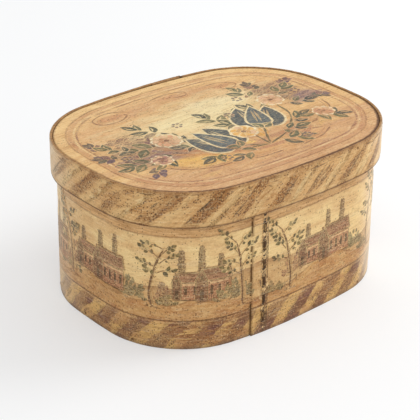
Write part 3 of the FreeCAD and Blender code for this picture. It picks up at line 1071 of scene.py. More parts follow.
def lay_leaves(picture, chance, leaves, colours, halo=None, breadth=0.52):
    """Pointed leaves given by foot, angle and length, with a pale edge where a halo is given."""
    drawn = []
    for foot, angle, reach in leaves:
        ahead = heading(angle)
        side = left_of(ahead)
        bow = foot + ahead * reach * 0.5 + side * reach * chance.uniform(-0.13, 0.13)
        width = reach * chance.uniform(0.85, 1.15) * breadth
        drawn.append((foot, bow, foot + ahead * reach, width, side))
    if halo:
        for foot, bow, tip, width, _ in drawn:
            over = (tip - foot).normalized() * 1.2
            picture.stroke([foot - over, bow, tip + over], width + 4.4, "leaf", halo, 0.72, steps=6)
    for foot, bow, tip, width, side in drawn:
        picture.stroke([foot, bow, tip], width * 1.25, "leaf", chance.choice(colours),
                       chance.uniform(0.88, 1.0), steps=6, side_cover=0.24)
        if halo:
            shift = side * width * 0.16
            vein = [foot.lerp(tip, 0.25) + shift, bow + shift, foot.lerp(tip, 0.8) + shift * 0.5]
            picture.stroke(vein, width * 0.26, "leaf", "70724e", 0.28, steps=5)


def leaf_spray(picture, chance, x, y, angle, length, leaves, colours, size, halo=None, breadth=0.52):
    """A twig with leaves set along it on both sides and one at its tip."""
    ahead = heading(angle)
    root = Vector((x, y))
    placed = []
    for index in range(leaves):
        share = (index + 0.5) / leaves
        turn = (1 if index % 2 else -1) * chance.uniform(0.7, 1.05) * (1 - 0.35 * share)
        placed.append((root + ahead * length * share, angle + turn, size * chance.uniform(0.75, 1.2)))
    placed.append((root + ahead * length, angle, size))
    lay_leaves(picture, chance, placed, colours, halo, breadth)


def tree(picture, chance, x, foot, height, lean):
    """A thin bent tree with sparse twigs and clumps of leaves."""
    twigs = 7
    bark = "684629"
    top = (x + lean, foot + height)
    low = (x + lean * -0.10, foot + height * 0.25)
    high = (x + lean * 0.35, foot + height * 0.7)
    picture.stroke([(x - 9, foot - 3), (x, foot - 1), (x + 13, foot - 4)], 5, "leaf", "74502f",
                   0.7, 0.5, steps=8)
    picture.stroke([(x + 1.5, foot - 2), low, high, top], 9, "taper", bark, 0.95, 0.2, steps=16)
    picture.stroke([(x + 2.8, foot), (low[0] + 1.2, low[1]), (high[0] + 0.9, high[1])], 3.0, "taper",
                   "a98454", 0.85, steps=12)
    greens = ["4a4424", "5d532c", "3f3b22", "73643a", "534528"]
    for index in range(twigs):
        share = 0.42 + 0.58 * (index + 0.6) / twigs
        start = Vector((x + lean * share ** 1.7, foot + height * share))
        way = 1 if index % 2 else -1
        angle = math.radians(90 - way * chance.uniform(35, 75))
        reach = height * chance.uniform(0.18, 0.30)
        tip = start + heading(angle) * reach
        picture.ink([start, (start + tip) / 2 + Vector((0, 1.6)), tip], 1.3, bark, steps=6)
        picture.stroke([(tip.x - 6, tip.y), (tip.x + 6, tip.y + 1)], 9, "round", "8a7c4a", 0.4,
                       0.5, steps=5)
        leaf_spray(picture, chance, start.x + (tip.x - start.x) * 0.35,
                   start.y + (tip.y - start.y) * 0.35, angle, reach * 0.85, chance.randint(3, 5),
                   greens, chance.uniform(5.0, 6.8), None, 0.56)


def poplar(picture, chance, x, foot, height):
    """A tall narrow tree, stippled dark down one side."""
    picture.stroke([(x, foot - 1), (x, foot + height)], 2.6, "taper", "5a3f2b", 0.8, steps=5)
    rows = int(height / 3.0)
    # Every third row in turn, so that the rows lie in few layers
    order = [index for start in range(3) for index in range(start, rows, 3)]
    for left, right, shades in ((-1.0, 1.0, ("86694a", "917048", "7d6042")),
                                (-1.1, 0.1, ("58422a", "4d3c26", "64482c"))):
        for index in order:
            share = index / rows
            spread = 5.0 * math.sin(math.pi * (0.26 + 0.62 * share)) ** 0.5
            up = foot + height * (0.04 + 0.92 * share)
            shift = chance.uniform(-0.6, 0.6)
            ends = [(x + spread * left + shift, up), (x + spread * right + shift, up + 1.0)]
            picture.stroke(ends, 5.6, "round", chance.choice(shades), 0.70, 1.0, steps=4,
                           side_cover=0.42)


def bush(picture, chance, x, foot, width, height, colours, speck=0.9):
    """A stippled round mass of foliage with leaves over it."""
    for part in (-0.22, 0.2, 0.0):
        middle = x + part * width
        ends = [(middle - width * 0.27, foot + height * 0.30),
                (middle + width * 0.27, foot + height * (0.34 + abs(part) * 0.4))]
        picture.stroke(ends, height * 0.78, "round", colours[0], 0.62, 0.8, steps=6)
    for _ in range(int(width * height / 30) + 3):
        across = chance.uniform(-0.5, 0.5)
        roof = math.sqrt(max(1 - (2 * across) ** 2, 0))
        root = Vector((x + across * width, foot + height * chance.uniform(0.0, 0.8) * roof))
        angle = math.pi / 2 - across * 2.4 + chance.uniform(-0.5, 0.5)
        tip = root + heading(angle) * chance.uniform(6, 11)
        picture.stroke([root, tip], chance.uniform(4.5, 6.5), "leaf", chance.choice(colours), 0.74,
                       speck * 0.7, steps=4, side_cover=0.26)


def house(picture, chance, x, foot, width, height, rise, turned=1):
    """A stippled house seen from one corner: end wall, long wall, roof, openings and outlines."""
    gable = width * 0.32
    body = width - gable

    def at(across, up):
        return (x + across if turned > 0 else x + width - across, foot + up)

    wall, shade = "a87050", "774c34"
    picture.block([at(gable / 2, -1), at(gable / 2, height)], gable, shade, 0.85, 0.8)
    picture.block([at(gable + body / 2, -1), at(gable + body / 2, height)], body, wall, 0.82, 0.85)
    crest = height + rise
    for index in range(3):
        level = height + rise * index / 3
        reach = gable * (1 - index / 3) + 1
        picture.block([at(gable / 2 - reach / 2, level + rise / 6),
                       at(gable / 2 + reach / 2, level + rise / 6)], rise / 2.4, shade, 0.8, 0.8)
    for index in range(4):
        share = (index + 0.5) / 4
        level = height + rise * share
        first = at(gable - gable / 2 * share, level)
        last = at(width + 2 - 3 * share, level + 0.3)
        tint = chance.choice(("8c5840", "774a34", "9a674c", "80523a"))
        picture.block([first, last], rise / 2.6, tint, 0.85, 0.35, steps=8)
    dark = "402613"
    lines = [(0, -1, 0, height), (gable, -1, gable, height), (width, -1, width, height),
             (-1.5, height - 1, gable / 2, crest), (gable / 2, crest, gable + 0.5, height - 1),
             (gable / 2, crest, width - 2, crest), (width - 2, crest, width + 2, height - 0.5),
             (gable, height, width + 2, height), (0, -1, width + 1, -1.5)]
    for x1, y1, x2, y2 in lines:
        picture.ink([at(x1, y1), at(x2, y2)], 1.1, dark, 0.85, steps=5)
    count = max(int(body / 8), 2)
    for index in range(count):
        across = gable + body * (index + 0.5) / count
        picture.block([at(across, height * 0.28), at(across, height * 0.74)], 3.3, dark, 0.9)
    picture.block([at(gable / 2, 0), at(gable / 2, height * 0.55)], 4.2, dark, 0.9)
    picture.block([at(gable / 2, height * 1.05), at(gable / 2, height * 1.25)], 3.2, dark, 0.8)
    picture.stroke([at(gable + body * 0.1, height * 0.88), at(width - 1, height * 0.88)], 2.2, "line",
                   "cfa57c", 0.75, steps=6)


def haystack(picture, chance, x, foot, width, height, paint):
    """A rounded stack drawn with curved strokes."""
    for index in range(7):
        share = (index + 0.5) / 7 - 0.5
        start = (x + share * width, foot)
        bow = (x + share * width * 0.95, foot + height * 0.6)
        picture.stroke([start, bow, (x + share * 1.5, foot + height)], width / 3, "taper",
                       chance.choice(("bb8440", "a2702f", "cb9a50")), 0.95, 0.4, steps=7)
    picture.ink([(x - width / 2, foot), (x - width * 0.42, foot + height * 0.7), (x, foot + height),
                 (x + width * 0.42, foot + height * 0.7), (x + width / 2, foot)], 1.1, paint.ink, 0.8,
                steps=14)


def fence(picture, chance, start, end, paint):
    """Posts and two rails along the ground."""
    count = max(int(abs(end - start) / 8), 2)
    for index in range(count + 1):
        x = start + (end - start) * index / count
        foot = near_ground_line(x * MM) - 5
        post = [(x, foot), (x + chance.uniform(-0.5, 0.5), foot + 10)]
        picture.ink(post, 1.4, paint.ink, 0.8, steps=3)
    for rise in (4, 8):
        places = [start + (end - start) * index / 6 for index in range(7)]
        points = [(x, near_ground_line(x * MM) - 5 + rise) for x in places]
        picture.ink(points, 1.1, paint.ink, 0.75, steps=count * 2)


def dabs(picture, chance, start, end, low, high, colours, count, reach, width, strength, speck=0.0,
         slope=0.0):
    """Loose strokes laid over the ground along one direction."""
    for _ in range(count):
        x, y = chance.uniform(start, end), chance.uniform(low, high)
        long = chance.uniform(0.5, 1.3) * reach
        angle = math.radians(slope + chance.uniform(-5, 5))
        tip = (x + long * math.cos(angle), y + long * math.sin(angle))
        middle = ((x + tip[0]) / 2, (y + tip[1]) / 2 + chance.uniform(-0.6, 0.6))
        picture.stroke([(x, y), middle, tip], chance.uniform(0.6, 1.3) * width, "leaf",
                       chance.choice(colours), chance.uniform(0.6, 1.1) * strength, speck,
                       steps=6)


# Operators

class BendWall(bpy.types.Operator):
    """Bends the wall's strip round the oval and paints its ground"""
    bl_idname = "bentwood.bend_wall"
    bl_label = "Wall of the box"

    def execute(self, context):
        settings = context.scene.bentwood
        strip = wall_strip(settings)
        heights = spaced_heights(strip.height, (1.2, 2.6, 5.0, 9.0), 22)
        bm = flat_strip(strip.length, strip.sizes.thickness, heights, 470, 0.0005)
        bend_strip(bm, strip, WALL_LINES)
        make_piece(bm, "wall", wall_finish(settings.paint), "box", ("side_band",))
        return {"FINISHED"}


class BendRim(bpy.types.Operator):
    """Bends the lid's rim round the oval and paints its stripes"""
    bl_idname = "bentwood.bend_rim"
    bl_label = "Rim of the lid"

    def execute(self, context):
        settings = context.scene.bentwood
        strip = rim_strip(settings)
        heights = spaced_heights(strip.height, (1.0, 2.2, 4.5), 8)
        bm = flat_strip(strip.length, strip.sizes.thickness, heights, 520, 0.0006)
        bend_strip(bm, strip)
        make_piece(bm, "rim", rim_finish(settings.paint), "lid", ("lid_band",))
        return {"FINISHED"}


class CutTop(bpy.types.Operator):
    """Cuts the lid's top board to the oval and paints its ground"""
    bl_idname = "bentwood.cut_top"
    bl_label = "Top board of the lid"

    def execute(self, context):
        settings = context.scene.bentwood
        oval = Oval(settings.oval)
        surface = TopSurface(oval, settings.paint)
        board_gap, round_over = 0.00035, 0.0009
        edge_inset = settings.strip.thickness + board_gap
        cells = 150
        bm = bmesh.new()
        bmesh.ops.create_grid(bm, x_segments=cells, y_segments=cells, size=1.0)
        corners = [oval.first_corner, oval.girth / 2 - oval.first_corner]
        corners += [way + oval.girth / 2 for way in corners]
        for vert in bm.verts:
            ring = max(abs(vert.co.x), abs(vert.co.y))
            if ring < 1e-9:
                vert.co = surface.place(0, 0, 0)
                continue
            way = self.way_on_square(vert.co / ring, corners, oval.girth)
            point, outward = oval.at(way)
            rim = point - outward * (edge_inset + round_over)
            spot = rim * ring
            vert.co = surface.place(spot.x, spot.y, 0)
        rim_edges = [edge for edge in bm.edges if edge.is_boundary]
        for step_out, drop in ((0.0006, 0.00035), (0.0003, 0.0009), (0.0, TOP_HIGH.z - TOP_LOW.z)):
            made = bmesh.ops.extrude_edge_only(bm, edges=rim_edges)["geom"]
            verts = [item for item in made if isinstance(item, bmesh.types.BMVert)]
            for vert in verts:
                outward = self.outward_at(oval, vert.co)
                crumble = 0.0004 * max(noise.noise(Vector((vert.co.x * 60, vert.co.y * 60, 1))), 0)
                vert.co = vert.co + outward * (step_out - (crumble if step_out else 0))
                vert.co.z = TOP_HIGH.z - drop
            rim_edges = [item for item in made if isinstance(item, bmesh.types.BMEdge)
                         and item.is_boundary]
        under = bmesh.ops.edgeloop_fill(bm, edges=rim_edges)["faces"]
        bmesh.ops.recalc_face_normals(bm, faces=bm.faces)
        bmesh.ops.inset_region(bm, faces=under, thickness=0.004, depth=0.0, use_even_offset=True)
        add_flat_map(bm, [(vert.co.x, vert.co.y) for vert in bm.verts])
        ground = surface.ground_layers(bm)
        bare = bm.verts.layers.float.new("bare")
        for vert in bm.verts:
            vert[bare] = ease(TOP_HIGH.z - vert.co.z, 0.001, 0.003)
            surface.note_ground(vert, ground, vert.co.x, vert.co.y)
        bmesh.ops.triangulate(bm, faces=[face for face in bm.faces if len(face.verts) > 4])
        make_piece(bm, "top", top_finish(settings.paint), "lid", ("lid_board",))
        return {"FINISHED"}

    @staticmethod
    def way_on_square(spot, corners, girth):
        """Way round the oval that goes with a place on the edge of the square from -1 to 1."""
        if spot.x > 1 - 1e-6:
            side, share = 0, (spot.y + 1) / 2
        elif spot.y > 1 - 1e-6:
            side, share = 1, (1 - spot.x) / 2
        elif spot.x < -1 + 1e-6:
            side, share = 2, (1 - spot.y) / 2
        else:
            side, share = 3, (spot.x + 1) / 2
        start = corners[side]
        end = corners[(side + 1) % 4] + (girth if side == 3 else 0)
        return mix_numbers(start, end, share)

    @staticmethod
    def outward_at(oval, point):
        best, outward = 1.0, Vector((1, 0, 0))
        for cx, cy, radius, start_angle, sweep in oval.arcs:
            past = (math.atan2(point.y - cy, point.x - cx) - start_angle) % math.tau
            if past <= sweep + 1e-3 or past >= math.tau - 1e-3:
                away = Vector((point.x - cx, point.y - cy, 0))
                if radius - away.length < best:
                    best, outward = radius - away.length, away.normalized()
        return outward


class LaceSeams(bpy.types.Operator):
    """Laces both lapped seams with split root"""
    bl_idname = "bentwood.lace_seams"
    bl_label = "Root lacing"

    def execute(self, context):
        settings = context.scene.bentwood
        material = root_finish()
        low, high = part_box("side_lacing")
        self.lace(settings, wall_strip(settings), low.z, high.z, settings.lace.wall_stitch, 1,
                  material, "wall_lacing", "box", "side_lacing")
        low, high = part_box("lid_lacing")
        self.lace(settings, rim_strip(settings), low.z, high.z, settings.lace.rim_stitch, 2,
                  material, "rim_lacing", "lid", "lid_lacing")
        return {"FINISHED"}

    def lace(self, settings, strip, low, high, stitch, seed, material, name, body, node):
        sizes = settings.lace
        chance = random.Random(seed)
        along = sizes.setback
        _, outward = strip.oval.at(strip.seam + along)
        across = Vector((0, 0, 1)).cross(outward)
        tail = 0.004
        first = low + sizes.thickness / 2 + tail - strip.foot
        last = high - sizes.thickness / 2 - tail - strip.foot
        count = round((last - first) / stitch) + 1
        out_depth = -(sizes.thickness / 2 + 0.0001)
        in_depth = strip.sizes.thickness + sizes.thickness / 2 + 0.0001
        corners = [(in_depth, first - tail)]
        for index in range(count):
            height = first + index * stitch
            depths = (in_depth, out_depth) if index % 2 == 0 else (out_depth, in_depth)
            corners += [(depth, height) for depth in depths]
        corners.append((in_depth, first + (count - 1) * stitch + tail))
        path = []
        for index, (depth, height) in enumerate(corners):
            spot = strip.place(along, depth, height)
            if 0 < index < len(corners) - 1:
                before = strip.place(along, *corners[index - 1])
                after = strip.place(along, *corners[index + 1])
                back, ahead = (before - spot).normalized(), (after - spot).normalized()
                bend = 0.00085
                path += [spot + back * bend, spot + (back + ahead) * bend * 0.3, spot + ahead * bend]
                if depth == corners[index + 1][0] == out_depth:
                    middle = (spot + after) / 2 + outward * 0.00015
                    path.append(middle + across * chance.uniform(-0.00025, 0.00025))
            else:
                path.append(spot)
        bm = bmesh.new()
        bmesh.ops.create_cone(bm, cap_ends=True, segments=10, radius1=1, radius2=1, depth=1)
        bmesh.ops.translate(bm, verts=bm.verts, vec=(0, 0, 0.5))
        upright = [edge for edge in bm.edges if abs(edge.verts[0].co.z - edge.verts[1].co.z) > 0.5]
        bmesh.ops.subdivide_edges(bm, edges=upright, cuts=len(path) * 3, use_grid_fill=True)

        def section(share):
            swell = noise.noise(Vector((share * 40, seed, 0)))
            width = sizes.width / 2 * (0.88 + 0.16 * swell)
            return width, sizes.thickness / 2 * (0.9 + 0.12 * noise.noise(Vector((share * 70, seed, 5))))

        bend_rod(bm, path, across, section)
        bmesh.ops.recalc_face_normals(bm, faces=bm.faces)
        make_piece(bm, name, material, body, (node,))


class FinishBoardAndPegs(bpy.types.Operator):
    """Gives the floor board and the pegs their wood"""
    bl_idname = "bentwood.finish_board_and_pegs"
    bl_label = "Floor board and pegs"

    def execute(self, context):
        paint = context.scene.bentwood.paint
        pegs = peg_finish()
        finishes = {"bottom_board": board_finish(paint), "bottom_pegs": pegs, "lid_pegs": pegs}
        for node, material in finishes.items():
            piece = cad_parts[node]
            piece.data.materials.clear()
            piece.data.materials.append(material)
        return {"FINISHED"}


class PaintWall(bpy.types.Operator):
    """Paints farmsteads, trees and fields round the wall"""
    bl_idname = "bentwood.paint_wall"
    bl_label = "Scenes on the wall"

    def execute(self, context):
        settings = context.scene.bentwood
        paint = settings.paint
        strip = wall_strip(settings)
        surface = StripSurface(strip, WALL_LINES)
        material = bpy.data.materials["wall_paint"]
        chance = random.Random(11)
        fields = self.fields(chance)
        fields.lay_on(surface, "wall_fields", material, "box", "painted_side")
        farms = Painting(fields)
        for middle, width, _ in MOUNDS:
            if width > 50:
                self.farm(farms, chance, middle, width, paint)
        farms.lay_on(surface, "wall_farms", material, "box", "painted_side")
        trees = Painting(farms)
        for place, lean in ((54, -15), (196, 13), (240, -12), (360, 14), (468, -12), (580, 14),
                            (700, -14), (790, 12), (880, -13), (1008, 16), (1118, -9)):
            foot = near_ground_line(place * MM) - 6
            tree(trees, chance, place, foot, 124 - foot, lean)
        for place in (30, 182, 262, 480, 690, 1026, 1094):
            bush(trees, chance, place, near_ground_line(place * MM) - 3, 18, 14,
                 ("6a6038", "7c6845", "565434"))
        self.seam(trees, chance, settings)
        trees.lay_on(surface, "wall_trees", material, "box", "painted_side")
        return {"FINISHED"}

    def fields(self, chance):
        """Strokes over the sky, the ground and the foot, laid before the scenes."""
        picture = Painting()
        for start in range(0, 1120, 40):
            end = start + 40
            dabs(picture, chance, start, end, 84, 132, ("dcc496", "c49c66", "cda672"), 4, 34, 7, 0.3)
            dabs(picture, chance, start, end, 38, 50, ("a5753f", "96683e", "c39a66", "a0714c"),
                 5, 30, 6.0, 0.36, 0.2, chance.uniform(-5, 5))
            dabs(picture, chance, start, end, 138, 148, ("8a5c34", "cda26c", "9c6c3e"), 3, 30, 3, 0.4)
            dabs(picture, chance, start, start + 34, 3, 14, ("6f4c36", "73503e", "c29660", "9a7048"),
                 3, 22, 5, 0.42, 0.85, 46)
        dabs(picture, chance, 1020, 1092, 5, 30, ("96663a", "a2713f", "8f5f38", "ad7f4c"),
             46, 34, 9, 0.9, 0.3, 3)
        return picture

    def farm(self, picture, chance, middle, width, paint):
        """One farmstead on its mound, with poplars and bushes behind it."""
        foot = near_ground_line(middle * MM) - 4
        turned = chance.choice((-1, 1))
        left = middle - width * 0.62
        tall = 126 - foot
        for index in range(3):
            poplar(picture, chance, left + width * (0.22 + 0.38 * index) + chance.uniform(-4, 4),
                   foot + 4, tall * (0.98, 0.78, 0.90)[(index + int(middle)) % 3])
        bush(picture, chance, left - 6, foot - 3, 26, 26, ("8e6248", "7c5a44", "a0704f"))
        bush(picture, chance, left + width * 1.26, foot - 8, 36, 24, ("5d6042", "4a5038", "736c4a"), 0.7)
        small = width * 0.52
        house(picture, chance, left + (0 if turned > 0 else width * 0.66), foot + 1, small, 20, 12,
              turned)
        near = left + (small * 0.86 if turned > 0 else 0)
        house(picture, chance, near, foot - 2, width * 0.72, 24, 15, turned)
        if chance.random() < 0.5:
            haystack(picture, chance, middle + turned * width * 0.80, foot - 9, 20, 19, paint)
        fence(picture, chance, middle - width * 0.9, middle - width * 0.66, paint)
        dabs(picture, chance, middle - 34, middle + 16, foot - 16, foot - 6,
             ("c9a06c", "b98850", "8f6238"), 6, 32, 6, 0.42, 0.15, chance.uniform(-4, 4))

    def seam(self, picture, chance, settings):
        """Dirt and rubbed paint along the wall's lacing, with painted shade as dark ovals at the slots
        and dark dashes between the stitches.
        """
        lace = settings.lace
        along = lace.setback / MM
        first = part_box("side_lacing")[0].z / MM + FIRST_STITCH
        picture.stroke([(along + 0.4, 1), (along + 1.2, 60), (along + 0.4, 136)], 8.0, "line",
                       "4a2d16", 0.80, 0.5, steps=30, side_cover=0.3)
        picture.stroke([(along + 4.6, 1), (along + 5.2, 60), (along + 4.6, 136)], 2.4, "line",
                       "3c2412", 0.85, steps=30)
        stitch = lace.wall_stitch / MM
        # Painted shade: dark ovals where the root goes through its slots
        for index in range(12):
            height = first + index * stitch
            picture.stroke([(along - 3.6, height), (along + 3.6, height + 0.5)], 6.5, "round",
                           "2c190b", 0.95, steps=6)
        # Dark dashes of painted shade and one pale dash in each gap between the outer stitches
        for step, (tint, wide) in enumerate((("2a1708", 7.0), ("36200e", 6.4), ("d2ae76", 3.6),
                                             ("301b0b", 6.8))):
            for index in range(1, 12, 2):
                low = first + index * stitch + stitch * (step + 0.1) / 4
                picture.stroke([(along - 1.8, low), (along + chance.uniform(0.3, 2.0), low + 4.4)], wide,
                               "leaf", tint, 1.0, 0.0, steps=4)
        for _ in range(70):
            x, y = along + chance.uniform(-4.5, 5.0), chance.uniform(3, 136)
            tint = chance.choice(("2e1a0a", "422812", "dcbc88", "341f0d", "3a2413"))
            picture.stroke([(x, y), (x + chance.uniform(-1.5, 1.5), y + chance.uniform(3, 7))],
                           chance.uniform(2.4, 4.2), "leaf", tint, chance.uniform(0.6, 0.95),
                           steps=4)


class PaintRim(bpy.types.Operator):
    """Paints loose slanting dabs round the lid's rim"""
    bl_idname = "bentwood.paint_rim"
    bl_label = "Dabs on the rim"

    def execute(self, context):
        settings = context.scene.bentwood
        strip = rim_strip(settings)
        chance = random.Random(3)
        picture = Painting()
        for index in range(RIM_BANDS):
            foot = index * RIM_BAND + 12
            # Four bands have a set strength, and chance gives that of the others
            force = {7: 0.55, 8: 0.75, 9: 1.0, 10: 0.8}.get(index, chance.uniform(0.25, 0.85))
            for _ in range(4):
                low = chance.uniform(2, 14)
                self.slash(picture, foot + chance.uniform(-8, 7), low, low + chance.uniform(16, 26), 8.5,
                           chance.choice(("6a4222", "7b4e28", "8b5c30")), 0.62 * force, 0.95)
            if force > 0.6:
                self.slash(picture, foot + chance.uniform(-9, 4), 5, 36, 4.2,
                           chance.choice(("46311a", "503a22")), 0.80 * force, 0.6)
            for _ in range(3):
                low = chance.uniform(2, 12)
                self.slash(picture, foot + 22 + chance.uniform(-5, 5), low, low + 24, 8.5,
                           chance.choice(("dfc08a", "d2ad76")), 0.55, 0.1)
            dabs(picture, chance, foot - 20, foot + 30, 35, 40, ("6f4722", "a87b48", "573a1e"),
                 3, 22, 2.6, 0.45 + 0.4 * force)
            dabs(picture, chance, foot - 20, foot + 30, 2, 7, ("dab883", "8f6238"), 3, 24, 2.4, 0.5)
            if 7 <= index <= 10:
                dabs(picture, chance, foot - 25, foot + 25, 9, 34, ("99642e", "a46c30", "8a5628"),
                     7, 26, 9, 0.45, 0.6, 24)
        picture.lay_on(StripSurface(strip), "rim_dabs", bpy.data.materials["rim_paint"], "lid",
                       "painted_rim")
        return {"FINISHED"}

    @staticmethod
    def slash(picture, foot, low, high, width, tint, strength, speck):
        """One slanting stroke across the rim."""
        ends = [(foot + height * RIM_SLANT, height) for height in (low, (low + high) / 2 + 0.8, high)]
        picture.stroke(ends, width, "leaf", tint, strength, speck, steps=9)


class PaintTop(bpy.types.Operator):
    """Paints the bouquet and the scrolls on the lid's top"""
    bl_idname = "bentwood.paint_top"
    bl_label = "Flowers on the top"

    def execute(self, context):
        settings = context.scene.bentwood
        oval = Oval(settings.oval)
        surface = TopSurface(oval, settings.paint)
        material = bpy.data.materials["top_paint"]
        chance = random.Random(5)
        clouds = Painting()
        self.clouds(clouds, chance, oval)
        self.frame_lines(clouds, chance, oval)
        self.scrolls(clouds)
        clouds.lay_on(surface, "top_clouds", material, "lid", "painted_top")
        picture = Painting(clouds)
        self.shrubs(picture, chance)
        self.bouquet(picture, chance)
        picture.lay_on(surface, "top_flowers", material, "lid", "painted_top")
        return {"FINISHED"}

    def scatter(self, picture, chance, oval, area, colours, count, reach, width, strength, speck, edge):
        """Streaks of thin paint inside an area, kept a distance from the oval's edge."""
        x_low, x_high, y_low, y_high = area
        for _ in range(count):
            x, y = chance.uniform(x_low, x_high), chance.uniform(y_low, y_high)
            long = chance.uniform(0.4, 1.2) * reach
            ends = [(x, y), (x + long, y + chance.uniform(-2.5, 3.5))]
            if min(oval.inset_of(px * MM, py * MM) for px, py in ends) < edge * MM:
                continue
            middle = ((x + ends[1][0]) / 2, (y + ends[1][1]) / 2 + chance.uniform(-1.5, 1.5))
            picture.stroke([ends[0], middle, ends[1]], chance.uniform(0.5, 1.4) * width, "leaf",
                           chance.choice(colours), chance.uniform(0.6, 1.1) * strength,
                           speck, steps=7)

    def clouds(self, picture, chance, oval):
        for area, colours, count, reach, width, strength, speck, edge in (
                ((-175, 170, -140, 140), ("c28c54", "e4c188", "b58048"),
                 300, 34, 4.0, 0.42, 0.0, 6),
                ((-150, 150, 58, 118), ("c4916a", "b98460", "dcb98c", "cfa478"),
                 110, 44, 8, 0.36, 0.2, 33),
                ((-150, 130, 4, 86), ("e6d6aa", "dcc694", "d2b682", "e0cc9c"),
                 120, 46, 8, 0.40, 0.0, 33),
                ((-110, 130, -112, -62), ("ba8660", "aa7850", "dcb480", "e2b872", "b98766", "cb9868"),
                 120, 40, 8, 0.50, 0.15, 33)):
            self.scatter(picture, chance, oval, area, colours, count, reach, width, strength, speck,
                         edge)

    def frame_lines(self, picture, chance, oval):
        """Broken brush strokes that follow the oval."""
        girth = oval.girth / MM
        for inset, width, tints in ((18.4, 3.4, ("8d5a38", "a87449")), (22.5, 6.0, ("bb7f58", "c9946a")),
                                    (26.8, 3.4, ("e8cb98", "deba86")),
                                    (30.4, 3.8, ("95604a", "9c6a50"))):
            way = 0.0
            while way < girth:
                reach = chance.uniform(24, 46)
                depth = (inset + chance.uniform(-0.9, 0.9)) * MM
                points = []
                for share in (0.0, 0.34, 0.67, 1.0):
                    spot, outward = oval.at((way + reach * share) * MM)
                    spot = spot - outward * depth
                    points.append((spot.x / MM, spot.y / MM))
                picture.stroke(points, width * chance.uniform(0.8, 1.2), "leaf",
                               chance.choice(tints), chance.uniform(0.3, 0.7), steps=12)
                way += reach * chance.uniform(0.7, 1.15)

    def scrolls(self, picture):
        for points in (
                [(-60, 96), (-84, 104), (-108, 96), (-106, 80), (-84, 76), (-66, 86), (-74, 94)],
                [(60, 100), (84, 98), (98, 84), (86, 76), (68, 84)],
                [(-20, 104), (6, 108), (30, 102), (26, 92), (6, 94)],
                [(146, -16), (138, -40), (112, -58), (88, -62), (76, -74), (92, -80)],
                [(-126, -52), (-104, -74), (-74, -88), (-44, -86), (-38, -76), (-54, -74)],
                [(10, -100), (-22, -98), (-36, -90)], [(36, -102), (72, -96), (96, -84)]):
            picture.ink(points, 2.2, "7f4d30", 0.75, steps=26)
            inner = [(x * 0.965, y * 0.955) for x, y in points]
            picture.ink(inner, 1.2, "a46e48", 0.6, steps=26)
        for cx, cy, reach, high in ((-86, 90, 36, 20), (78, 88, 26, 15), (2, 99, 30, 9)):
            picture.stroke([(cx - reach / 2, cy), (cx + reach / 2, cy)], high, "round", "bf7f55",
                           0.48, 0.3, steps=10)

    def shrubs(self, picture, chance):
        """Dull purple-brown masses beside the bouquet, and warm sweeps of earth under it."""
        browns = ("866452", "735c4e", "9a7454", "84564a", "94795a", "8b5f50")
        purples = ("7a5560", "6d4f58", "84606a", "5f4a50")
        for cx, cy, reach, high, count, tints, speck in (
                (-112, 8, 76, 62, 60, browns, 0.9), (-116, -24, 84, 26, 34, purples, 0.3),
                (116, 34, 66, 62, 54, browns, 0.9), (138, 0, 48, 22, 20, purples, 0.3),
                (-60, -34, 60, 20, 16, browns, 0.4)):
            for _ in range(count):
                angle, out = chance.uniform(0, math.tau), math.sqrt(chance.random())
                x = cx + reach / 2 * out * math.cos(angle)
                y = cy + high / 2 * out * math.sin(angle)
                size = chance.uniform(11, 24)
                lean = chance.uniform(-0.4, 0.9)
                picture.stroke([(x - size / 2, y - lean * 4), (x, y + 1), (x + size / 2, y + lean * 5)],
                               size * 0.55, "leaf", chance.choice(tints),
                               chance.uniform(0.4, 0.75), speck, steps=6)
        for points, width, tint in (
                ([(-104, -8), (-72, -34), (-44, -64), (-20, -76)], 15, "a8693f"),
                ([(-116, -44), (-84, -60), (-52, -80)], 17, "e3b35c"),
                ([(-98, -30), (-70, -54), (-44, -74)], 9, "c9853f"),
                ([(-26, -79), (20, -82), (62, -78), (92, -60)], 9, "a2604a"),
                ([(-20, -86), (30, -90), (84, -82)], 12, "d6a468"),
                ([(70, -70), (96, -48), (118, -30)], 15, "c08452"),
                ([(92, -74), (120, -50)], 12, "dcae6c")):
            for _ in range(3):
                shifted = [(x + chance.uniform(-3, 3), y + chance.uniform(-2.5, 2.5)) for x, y in points]
                picture.stroke(shifted, width * chance.uniform(0.5, 0.9), "leaf", tint, 0.62,
                               0.1, steps=16)
        dusk = ["6b4c4a", "574b42", "7a5250", "5a4656", "4d4f42"]
        for x, y, angle in ((-146, -6, 2.6), (-124, -50, 3.9), (-96, -10, 1.3), (-146, 20, 1.9),
                            (104, 52, 1.4), (138, 42, 0.7), (140, 0, -0.4), (118, -40, -1.0),
                            (-120, -20, 3.3)):
            leaf_spray(picture, chance, x, y, angle, 18, 5, dusk, 13)

    def flower(self, picture, chance, x, y, reach, colour, heart, petals=9):
        """A round flower of overlapping petals with a pale edge and a dark heart."""
        centre = Vector((x, y))
        for size, tints, strength in ((1.16, ("efdfb8",), 0.85), (0.98, (colour, "e0b58c"), 0.92),
                                      (0.56, (heart, colour), 0.75)):
            for index in range(petals):
                angle = math.tau * index / petals + chance.uniform(-0.15, 0.15)
                ahead = heading(angle)
                picture.stroke([centre + ahead * reach * 0.08, centre + ahead * reach * size],
                               reach * size * 0.82, "petal", chance.choice(tints), strength, steps=6)
        picture.stroke([(x - reach * 0.22, y), (x + reach * 0.22, y)], reach * 0.5, "round",
                       "7c4a30", 0.85, 0.6, steps=5)

    def tulip(self, picture, chance, x, y, angle, length, width):
        """A large slate flower head of three pointed petals, each with a pale edge."""
        ahead = heading(angle)
        side = left_of(ahead)
        base = Vector((x, y))

